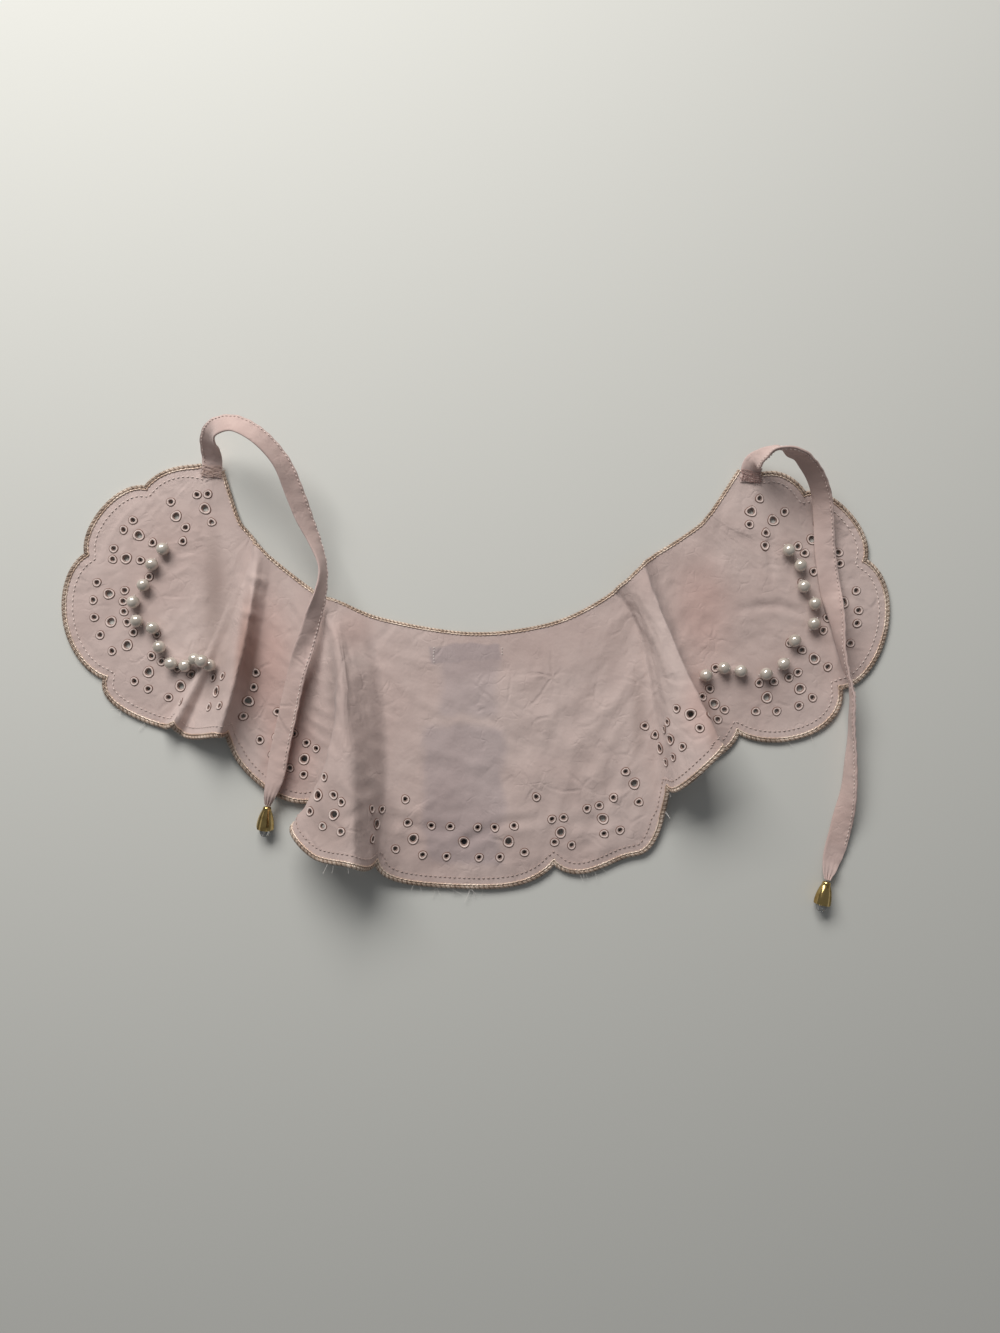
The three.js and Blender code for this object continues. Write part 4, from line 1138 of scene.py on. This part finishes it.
# Rows of stitches: length, gap, radius of the thread, how much of it is sunk into the cloth, and material.
Stitch = namedtuple("Stitch", "length gap radius sunk material")
HEM_STITCH = Stitch(1.8, 1.1, 0.26, 0.15, HEM_THREAD)
TIE_STITCH = Stitch(1.6, 0.9, 0.24, 0.15, SEAM_THREAD)
LABEL_STITCH = Stitch(1.2, 0.5, 0.2, 0.3, WHITE_THREAD)

# One stitch from end to end: the share of its length, and its height and thickness as shares of the radius.
StitchPoint = namedtuple("StitchPoint", "share height thick")
STITCH_SHAPE = [
    StitchPoint(0, -1, 0.25),
    StitchPoint(0.12, 0.1, 0.75),
    StitchPoint(0.35, 0.8, 1),
    StitchPoint(0.65, 0.8, 1),
    StitchPoint(0.88, 0.1, 0.75),
    StitchPoint(1, -1, 0.25),
]


def stitches(name, spots, normals, stitch):
    """A row of short round stitches along a line over the cloth."""
    lengths = running_lengths(spots)
    share, height, thick = np.array(STITCH_SHAPE).T
    section = circle(stitch.radius, SIDES) * thick[:, None, None]
    lift = (height + 1 - stitch.sunk) * stitch.radius
    tubes = []
    mark = stitch.gap
    while mark + stitch.length < lengths[-1]:
        marks = mark + stitch.length * share
        middle = at_marks(marks, lengths, spots)
        face = unit(at_marks(marks, lengths, normals))
        side = unit(np.cross(face, unit(np.gradient(middle, axis=0))))
        tubes.append(tube(middle + face * lift[:, None], side, face, section))
        mark += stitch.length + stitch.gap
    return make_threads(name, tubes, stitch.material)


def make_hem_seam():
    edge = edge_line(True, 2 * EDGE_STEP)
    by_station, by_reach = cloth_slopes(edge.station, edge.reach)
    d_station, d_reach = solved(by_station, by_reach, -edge.outward * HEM_STITCH_INSET)
    spot, normal = surface(edge.station + d_station, edge.reach + d_reach)
    return stitches("hem_stitching", spot + normal * CLOTH_THICKNESS / 2, normal, HEM_STITCH)


hem_seam = make_hem_seam()
hem_cord = twisted_cord("hem_cord", True, HEM_CORD, HEM_PITCH, [HEM_BRAID, HEM_BRAID, DARK_BRAID])
neck_cord = twisted_cord("neck_cord", False, NECK_CORD, NECK_PITCH, [NECK_BRAID, NECK_BRAID, DARK_BRAID])
hem_gilt = gilt_line("hem_gilt_thread", True, HEM_GILT)
neck_gilt = gilt_line("neck_gilt_thread", False, NECK_GILT)
dress(hem_seam, "cotton")
dress(hem_cord, "braid", "hem_piping")
dress(neck_cord, "braid", "neck_piping")
dress(hem_gilt, "braid")
dress(neck_gilt, "braid")

# Places where fibres have worked loose from the hem's cord: across and up in hundredths, how many fibres, and
# how far to both sides in millimetres.
Fray = namedtuple("Fray", "across up count spread")
FRAYS = [
    Fray(-41, 39, 7, 9),
    Fray(-2.6, -0.5, 16, 20),
    Fray(14, 3.6, 9, 9),
    Fray(23.4, 20, 4, 8),
    Fray(-15.2, 6, 4, 12),
    Fray(38, 36.5, 4, 14),
]


def make_frays():
    """Fine loose fibres that stand out from the cord of the hem."""
    edge = edge_line(True)
    share = np.linspace(0, 1, 7)[:, None]
    tubes = []
    for fray in FRAYS:
        spot = place([fray.across, fray.up, 0])[:2]
        nearest = int(np.argmin(((edge.point[:, :2] - spot) ** 2).sum(-1)))
        for _ in range(fray.count):
            moved = nearest + rng.uniform(-1, 1) * fray.spread / EDGE_STEP
            at = int(np.clip(moved, 2, len(edge.point) - 3))
            lean = unit(edge.outward[at] + rng.normal(0, 0.7, 3) * [1, 1, 0.35])
            bend = rng.normal(0, 1, 3) * [1, 1, 0.3]
            length = rng.uniform(2.2, 6)
            start = edge.point[at] + edge.outward[at] * HEM_CORD * 0.8
            line = start + length * (lean * share + 0.35 * bend * share**2)
            line[:, 2] = np.maximum(line[:, 2] - share[:, 0] * 0.4, 0.15)
            tubes.append(thread(line, [0.1, 0.2, 1], FIBRE_RADIUS, FIBRE_SIDES))
    return make_threads("loose_fibres", tubes, WHITE_THREAD)


frays = dress(make_frays(), "cotton")


# Ties

TIE_STEP = 1.4

# The foot of each tie is pressed flat and sewn down over this run, and its ripples grow over the next one.
FOOT_RUN = 7
FOOT_DROP = 0.5
RIPPLES_FROM = 12
TIE_SEAM = 0.76


def tie_frame(rows):
    """The run of a tie, its middle, the ways that its width and face point, and its share of the width."""
    points = place([row.at for row in rows], TIE_REST)
    marks = running_lengths(points)
    turns = np.array([[row.roll, row.wide, 0] for row in rows], float)
    at = divided_marks(marks, TIE_STEP)
    ahead = smooth_through(points, marks, np.minimum(at + 0.5, marks[-1]))
    behind = smooth_through(points, marks, np.maximum(at - 0.5, 0))
    along = unit(ahead - behind)
    turned = smooth_through(turns, marks, at)
    roll = np.radians(turned[:, :1])
    flat = unit(np.cross([0, 0, 1], along))
    side = flat * np.cos(roll) + np.cross(along, flat) * np.sin(roll)
    return at, smooth_through(points, marks, at), side, np.cross(along, side), turned[:, 1]


def tie_surface(at, share, stitched, wide):
    """How far a tie's face is raised: puckers beside its stitched edge, and soft cross folds."""
    near = (1 + stitched * share) / 2
    ripple = np.sin(TURN * at / 7.5 + 1.3 * np.sin(at / 11))
    slow = np.sin(at / 9.0 + 2.2 * share + 2 * np.sin(at / 31))
    gathered = np.clip((0.9 - wide) / 0.4, 0, 1)
    pleat = np.cos(3.5 * math.pi * share)
    return 0.24 * ripple * near**2 + 0.3 * slow + 0.38 * gathered * pleat


def make_tie(side_name):
    """A tie, the seams on both of its faces, and its length."""
    stitched = STITCHED_EDGE[side_name]
    at, centre, side, face, wide = tie_frame(TIES[side_name])
    half_width = TIE_WIDTH / 2 * wide
    half_thick = TIE_THICKNESS / 2
    across = np.concatenate([[-1], np.linspace(-0.97, 0.97, 13), [1]])
    rounded = np.sqrt(1 - np.clip((abs(across) - 0.9) / 0.1, 0, 1) ** 2)
    fold = 0.12 * np.exp(-((across * stitched - 0.93) / 0.07) ** 2)
    groove = 0.12 * np.exp(-((across * stitched - 0.72) / 0.04) ** 2)
    grid_at, grid_across = np.meshgrid(at, across, indexing="ij")
    sewn = 1 - np.clip(grid_at / FOOT_RUN, 0, 1)
    height = tie_surface(grid_at, grid_across, stitched, wide[:, None])
    height = height * np.clip(grid_at / RIPPLES_FROM, 0, 1) - FOOT_DROP * sewn
    wobble = 1 + 0.015 * np.sin(grid_at / 8.3 + grid_across) * abs(grid_across)
    width = half_width[:, None] * grid_across * wobble
    thick = half_thick * (0.25 + 0.75 * rounded) * (1 - 0.55 * sewn) + (fold - groove) * (1 - sewn)
    upper = np.stack([width, height + thick], axis=-1)
    lower = np.stack([width, height - thick], axis=-1)
    section = np.concatenate([lower, upper[:, ::-1]], axis=1)
    points, groups = tube(centre, side, face, section)
    points[:, 2] = np.maximum(points[:, 2], LOWEST)
    uv = np.stack([section[..., 0].ravel(), np.repeat(at, section.shape[1])], axis=-1)
    uv = np.concatenate([uv, uv[[0, -1]]])
    tie = make_object(f"cotton_tie_{side_name}", points, groups, [TIE_COTTON], SOFT, uv)
    seam = TIE_SEAM * stitched
    seam_height = tie_surface(at, seam, stitched, wide)
    shown = slice(int(len(at) * 0.03), int(len(at) * 0.93))
    seams = []
    for facing, name in ((1, "upper"), (-1, "lower")):
        spot = centre + side * (half_width * seam)[:, None]
        spot = spot + face * (facing * half_thick + seam_height)[:, None]
        seams.append(stitches(f"tie_stitching_{side_name}_{name}", spot[shown], facing * face[shown],
                              TIE_STITCH))
    return tie, seams, at[-1]


tie_pieces = {}
for side_name in ("left", "right"):
    tie, seams, length = make_tie(side_name)
    dress(tie, "tie_cotton", f"tie_{side_name}")
    for seam in seams:
        dress(seam, "tie_cotton")
    tie_pieces[side_name] = (tie, seams, length)


# Bells, crystals and bar tacks

def lathe(name, profile, sides, origin, direction, material, smooth_below, flutes=0, depth=0.0):
    """A closed shell turned about a direction. Flutes flatten it into soft facets."""
    aside = unit(np.cross([0, 0, 1], direction))
    angle = TURN * np.arange(sides) / sides
    ring = np.cos(angle)[:, None] * aside + np.sin(angle)[:, None] * np.cross(direction, aside)
    flat = np.ones(sides)
    if flutes:
        phase = angle * flutes / TURN % 1 - 0.5
        flat = math.cos(math.pi / flutes) / np.cos(TURN * phase / flutes)
    points = [
        origin + direction * height + ring * (radius * (1 + depth * soft * (flat - 1)))[:, None]
        for radius, height, soft in profile
    ]
    ends = [origin + direction * profile[row][1] for row in (0, -1)]
    return make_object(name, np.concatenate([*points, ends]), ring_faces(len(profile), sides), [material],
                       smooth_below)


# The outside of a bell: how far down it is as a share of its length, and its width from top to mouth.
BELL_OUTSIDE = [
    (0, -0.4), (0.02, -0.12), (0.05, 0), (0.09, 0.06), (0.12, 0.05), (0.18, 0.16), (0.3, 0.42),
    (0.45, 0.66), (0.6, 0.84), (0.75, 0.95), (0.86, 1), (0.94, 0.99), (0.98, 0.93), (1, 0.86),
]


def bell_profile():
    """Radius, distance from the top, and how far the facets show, from the closed top to inside the mouth."""
    top = BELL_TOP / 2
    mouth = BELL_MOUTH / 2
    rows = [
        (top + (mouth - top) * wide, BELL_LENGTH * along, min(1, 4 * along))
        for along, wide in BELL_OUTSIDE
    ]
    inner = mouth - BELL_WALL
    floor = BELL_LENGTH - BELL_RECESS
    return rows + [(inner + 0.15, BELL_LENGTH, 0), (inner, BELL_LENGTH - 0.3, 0), (inner, floor, 0)]


def crystal_profile():
    girdle = BELL_MOUTH / 2 - BELL_WALL - CRYSTAL_GAP
    foot = BELL_LENGTH - BELL_RECESS + SEAM_GAP
    length = BELL_LENGTH + CRYSTAL_SHOWS - foot
    shape = [(0.7, 0), (1, 0.49), (1, 0.58), (0.8, 0.82), (0.5, 1)]
    return [(girdle * wide, foot + length * along, 0) for wide, along in shape]


for side_name in ("left", "right"):
    end = place(TIES[side_name][-1].at, TIE_REST)
    aim = unit(place(BELL_AIMS[side_name], BELL_MOUTH / 2) - end)
    top = end + aim * (SEAM_GAP + TIE_THICKNESS / 2)
    bell = lathe(f"bell_{side_name}", bell_profile(), 96, top, aim, BRASS, 24, flutes=10, depth=2.1)
    dress(bell, "brass", f"tie_tip_{side_name}")
    crystal = lathe(f"crystal_{side_name}", crystal_profile(), 8, top, aim, CRYSTAL, 5)
    dress(crystal, "crystal", f"tip_crystal_{side_name}")


# The stitching over the foot of each tie: the number of long and of crossing threads, how much lower the
# right end is, how far the long ones run past the tie, how much they waver, and the thread, which on the right
# has painted shade in its colour.
Tack = namedtuple("Tack", "rows crossed slant beyond waver material")
TACKS = {
    "left": Tack(8, 6, 0.8, 2.2, 0.5, TACK_THREAD),
    "right": Tack(6, 8, 2.6, 0, 0.18, TACK_THREAD_IN_PAINTED_SHADE),
}
TACK_RADIUS = 0.17


def make_tack(side_name):
    """Untidy hand stitching over the tie's end: long wavering threads, and short ones that cross them."""
    low, high = (np.array(corner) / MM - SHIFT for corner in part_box(f"bar_tack_{side_name}"))
    wide, tall = (high - low)[:2]
    tack = TACKS[side_name]
    tubes = []

    def sew(start, end, waver, arch):
        share = np.linspace(0, 1, 13)
        line = start + (end - start) * share[:, None]
        across = unit(np.array([start[1] - end[1], end[0] - start[0]]))
        sway = waver * np.sin(TURN * (share * rng.uniform(1.2, 2.4) + rng.uniform()))
        pressed = 1 - np.clip((line[:, 1] - low[1]) / FOOT_RUN, 0, 1)
        arched = arch * np.clip(6 * np.minimum(share, 1 - share), 0, 1)
        height = low[2] + 0.12 - 1.5 * FOOT_DROP * pressed + arched
        middle = np.column_stack([line + sway[:, None] * across, height])
        tubes.append(thread(middle, [0, 0, 1], TACK_RADIUS, SIDES))

    for index in range(tack.rows):
        y = low[1] - 0.2 + (tall + 2.6) * (index + 0.5) / tack.rows
        start = [low[0] + rng.uniform(-1, 1.6), y + rng.uniform(-0.3, 0.3) + tack.slant / 2]
        end = [high[0] + rng.uniform(-1.2, 1) + tack.beyond, y + rng.uniform(-0.3, 0.3) - tack.slant / 2]
        sew(np.array(start), np.array(end), tack.waver, 0.3 + 0.12 * (index % 3))
    for index in range(tack.crossed):
        along = (index + 0.5) / tack.crossed
        x = low[0] + wide * along
        drop = tack.slant * (0.5 - along)
        start = [x, low[1] + rng.uniform(-0.2, 0.8) + drop]
        end = [x + rng.uniform(0.6, 1.6), high[1] + rng.uniform(-0.6, 0.9) + drop]
        sew(np.array(start), np.array(end), 0.1, 0.25 + 0.15 * (index % 2))
    return make_threads(f"bar_tack_threads_{side_name}", tubes, tack.material)


for side_name in ("left", "right"):
    dress(make_tack(side_name), "tack_thread", f"bar_tack_{side_name}")


# Pearls

DRILL_RADIUS = 0.38
DRILL_DEPTH = 0.72
DRILL_LIP = 0.08
BEAD_COUNTS = {"left": 12, "right": 11}
BEAD_THREAD_RADIUS = 0.16
BEAD_THREAD_SIDES = 5


def make_pearl(name, centre, string):
    """A round bead with small drill holes where the thread goes in and out along the string."""
    near_hole = [(0.03, DRILL_DEPTH), (0.075, DRILL_DEPTH), (0.12, DRILL_LIP), (0.17, 0)]
    rows = near_hole + [(angle, 0) for angle in np.linspace(0.3, math.pi - 0.3, 18)]
    rows = rows + [(math.pi - angle, dent) for angle, dent in reversed(near_hole)]
    profile = []
    for angle, dent in rows:
        radius = PEARL_DIAMETER / 2 - dent
        wide = DRILL_RADIUS if dent == DRILL_DEPTH else radius * math.sin(angle)
        profile.append((wide, -radius * math.cos(angle), 0))
    return lathe(name, profile, 32, centre, string, PEARL, 45)


def bead_thread(centre, string):
    """The sewing thread that comes out of each end of a bead and goes down into the cloth."""
    radius = PEARL_DIAMETER / 2
    for way in (string, -string):
        start = centre + way * (radius - 0.4)
        out = centre + way * (radius + 0.35)
        down = out - [0, 0, radius * 0.55] - way * 0.2
        under = down - [0, 0, radius * 0.45] - way * 0.5
        line = np.array([start, out, down, under])
        lengths = running_lengths(line)
        bend = smooth_through(line, lengths, np.linspace(0, lengths[-1], 9))
        yield thread(bend, [string[1], -string[0], 0.01], BEAD_THREAD_RADIUS, BEAD_THREAD_SIDES)


bead_threads = []
for side_name, count in BEAD_COUNTS.items():
    names = [f"pearl_{side_name}_{index:02d}" for index in range(1, count + 1)]
    centres = np.array([np.mean(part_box(name), axis=0) / MM - SHIFT for name in names])
    runs = unit(np.gradient(centres, axis=0) * [1, 1, 0.3])
    for name, centre, run in zip(names, centres, runs):
        dress(make_pearl(name.replace("pearl", "bead"), centre, run), "pearl", name)
        bead_threads.extend(bead_thread(centre, run))
threads = make_threads("bead_threads", bead_threads, WHITE_THREAD)
dress(threads, "cotton")


# The label and the stitches that hold it

def make_label():
    """A thin piece of cloth with a worn edge, a little wavy on top and flat below."""
    x = np.linspace(-LABEL_WIDTH / 2, LABEL_WIDTH / 2, 25)
    y = np.linspace(-LABEL_LENGTH / 2, LABEL_LENGTH / 2, 71)
    grid_x, grid_y = np.meshgrid(x, y)
    wave = 0.18 * np.sin(grid_y / 9 + 0.12 * grid_x) + 0.1 * np.sin(grid_x / 5)
    edge = np.minimum(LABEL_WIDTH / 2 - abs(grid_x), LABEL_LENGTH / 2 - abs(grid_y))
    high = LABEL_THICKNESS * 0.72 * np.clip(edge / 1.2, 0.35, 1) + wave * 0.6 * np.clip(edge / 3, 0, 1)
    uv = np.stack([grid_x, grid_y], axis=-1).reshape(-1, 2)
    top = np.column_stack([uv + LABEL_PLACE[:2], high.ravel()])
    low = np.column_stack([top[:, :2], np.full(len(top), LOWEST)])
    quads = sheet_quads(np.arange(len(top)).reshape(grid_x.shape)).reshape(-1, 4)
    return make_object("label_cloth", np.concatenate([top, low]), closed_sheet(quads, len(top)),
                       [LABEL_CLOTH], SOFT, np.tile(uv, (2, 1)))


label = dress(make_label(), "label", "back_label")


# How finely the middle of the back is searched, along it and from neckline to hem.
SEARCH_NET = (260, 220)


def station_near(spots):
    """The station and reach of the cloth under some places, by a net over the middle of the back."""
    left, right = (KNOTS[RIB_NAMES.index(name)] for name in ("left 7", "back right"))
    stations = np.linspace(left, right, SEARCH_NET[0])
    reaches = np.linspace(0, 1, SEARCH_NET[1])
    net_station, net_reach = np.meshgrid(stations, reaches, indexing="ij")
    net = cloth_point(net_station, net_reach)[..., :2].reshape(-1, 2)
    nearest = [int(np.argmin(((net - spot) ** 2).sum(-1))) for spot in spots]
    return net_station.ravel()[nearest], net_reach.ravel()[nearest]


# Two short upright rows of white stitches at the label's top corners: across, top and bottom in hundredths.
LABEL_STITCHES = {"left": (-5.04, 58.1, 53.9), "right": (3.12, 57.9, 55.4)}
for side_name, (across, top_up, low_up) in LABEL_STITCHES.items():
    line = place([[across, up, 0] for up in np.linspace(top_up, low_up, 12)])[:, :2]
    spot, face = surface(*station_near(line))
    row = stitches(f"label_stitching_{side_name}", spot + face * CLOTH_THICKNESS / 2, face, LABEL_STITCH)
    dress(row, "cotton")


for side_name, (tie, seams, length) in tie_pieces.items():
    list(seams)


# Camera straight above, floor and light

PHOTO_SIZE = (1000, 1333)
PHOTO_MIDDLE_LINE = 476
PHOTO_HEM_LINE = 888
MM_PER_PIXEL = 0.6
CAMERA_HEIGHT = 600
SENSOR = 36
FLOOR_REACH = 6


def make_camera():
    camera = add_object("camera", bpy.data.cameras.new("camera"))
    camera.data.sensor_width = SENSOR
    camera.data.lens = SENSOR * CAMERA_HEIGHT / (PHOTO_SIZE[1] * MM_PER_PIXEL)
    camera.data.clip_start = 0.01
    camera.data.clip_end = 10
    camera.location = np.array([
        (PHOTO_SIZE[0] / 2 - PHOTO_MIDDLE_LINE) * MM_PER_PIXEL + SHIFT[0],
        (PHOTO_HEM_LINE - PHOTO_SIZE[1] / 2) * MM_PER_PIXEL + SHIFT[1],
        CAMERA_HEIGHT,
    ]) * MM
    bpy.context.scene.camera = camera


def make_floor():
    shader = Shader("pale floor", 0.95, Specular_IOR_Level=0.05)
    shader.colour(linear(206, 205, 199))
    mesh = bpy.data.meshes.new("floor")
    corners = [(x * FLOOR_REACH, y * FLOOR_REACH, 0) for x, y in ((-1, -1), (1, -1), (1, 1), (-1, 1))]
    mesh.from_pydata(corners, [], [(0, 1, 2, 3)])
    mesh.materials.append(shader.material)
    return add_object("floor", mesh)


def make_window():
    window = add_object("window", bpy.data.lights.new("window", "AREA"))
    window.data.shape = "RECTANGLE"
    window.data.size = 1.1
    window.data.size_y = 0.6
    window.data.energy = 21.5
    window.data.color = (1.0, 0.995, 0.98)
    window.location = (-0.36, 1.0, 0.85)
    window.rotation_euler = (-window.location).to_track_quat("-Z", "Y").to_euler()


def make_room_light():
    world = bpy.data.worlds.new("room")
    world.use_nodes = True
    sky = world.node_tree.nodes["Background"].inputs
    sky["Color"].default_value = (0.93, 0.96, 1.0, 1)
    sky["Strength"].default_value = 0.17
    bpy.context.scene.world = world


make_camera()
make_floor()
make_window()
make_room_light()
bpy.context.scene.view_settings.view_transform = "Standard"
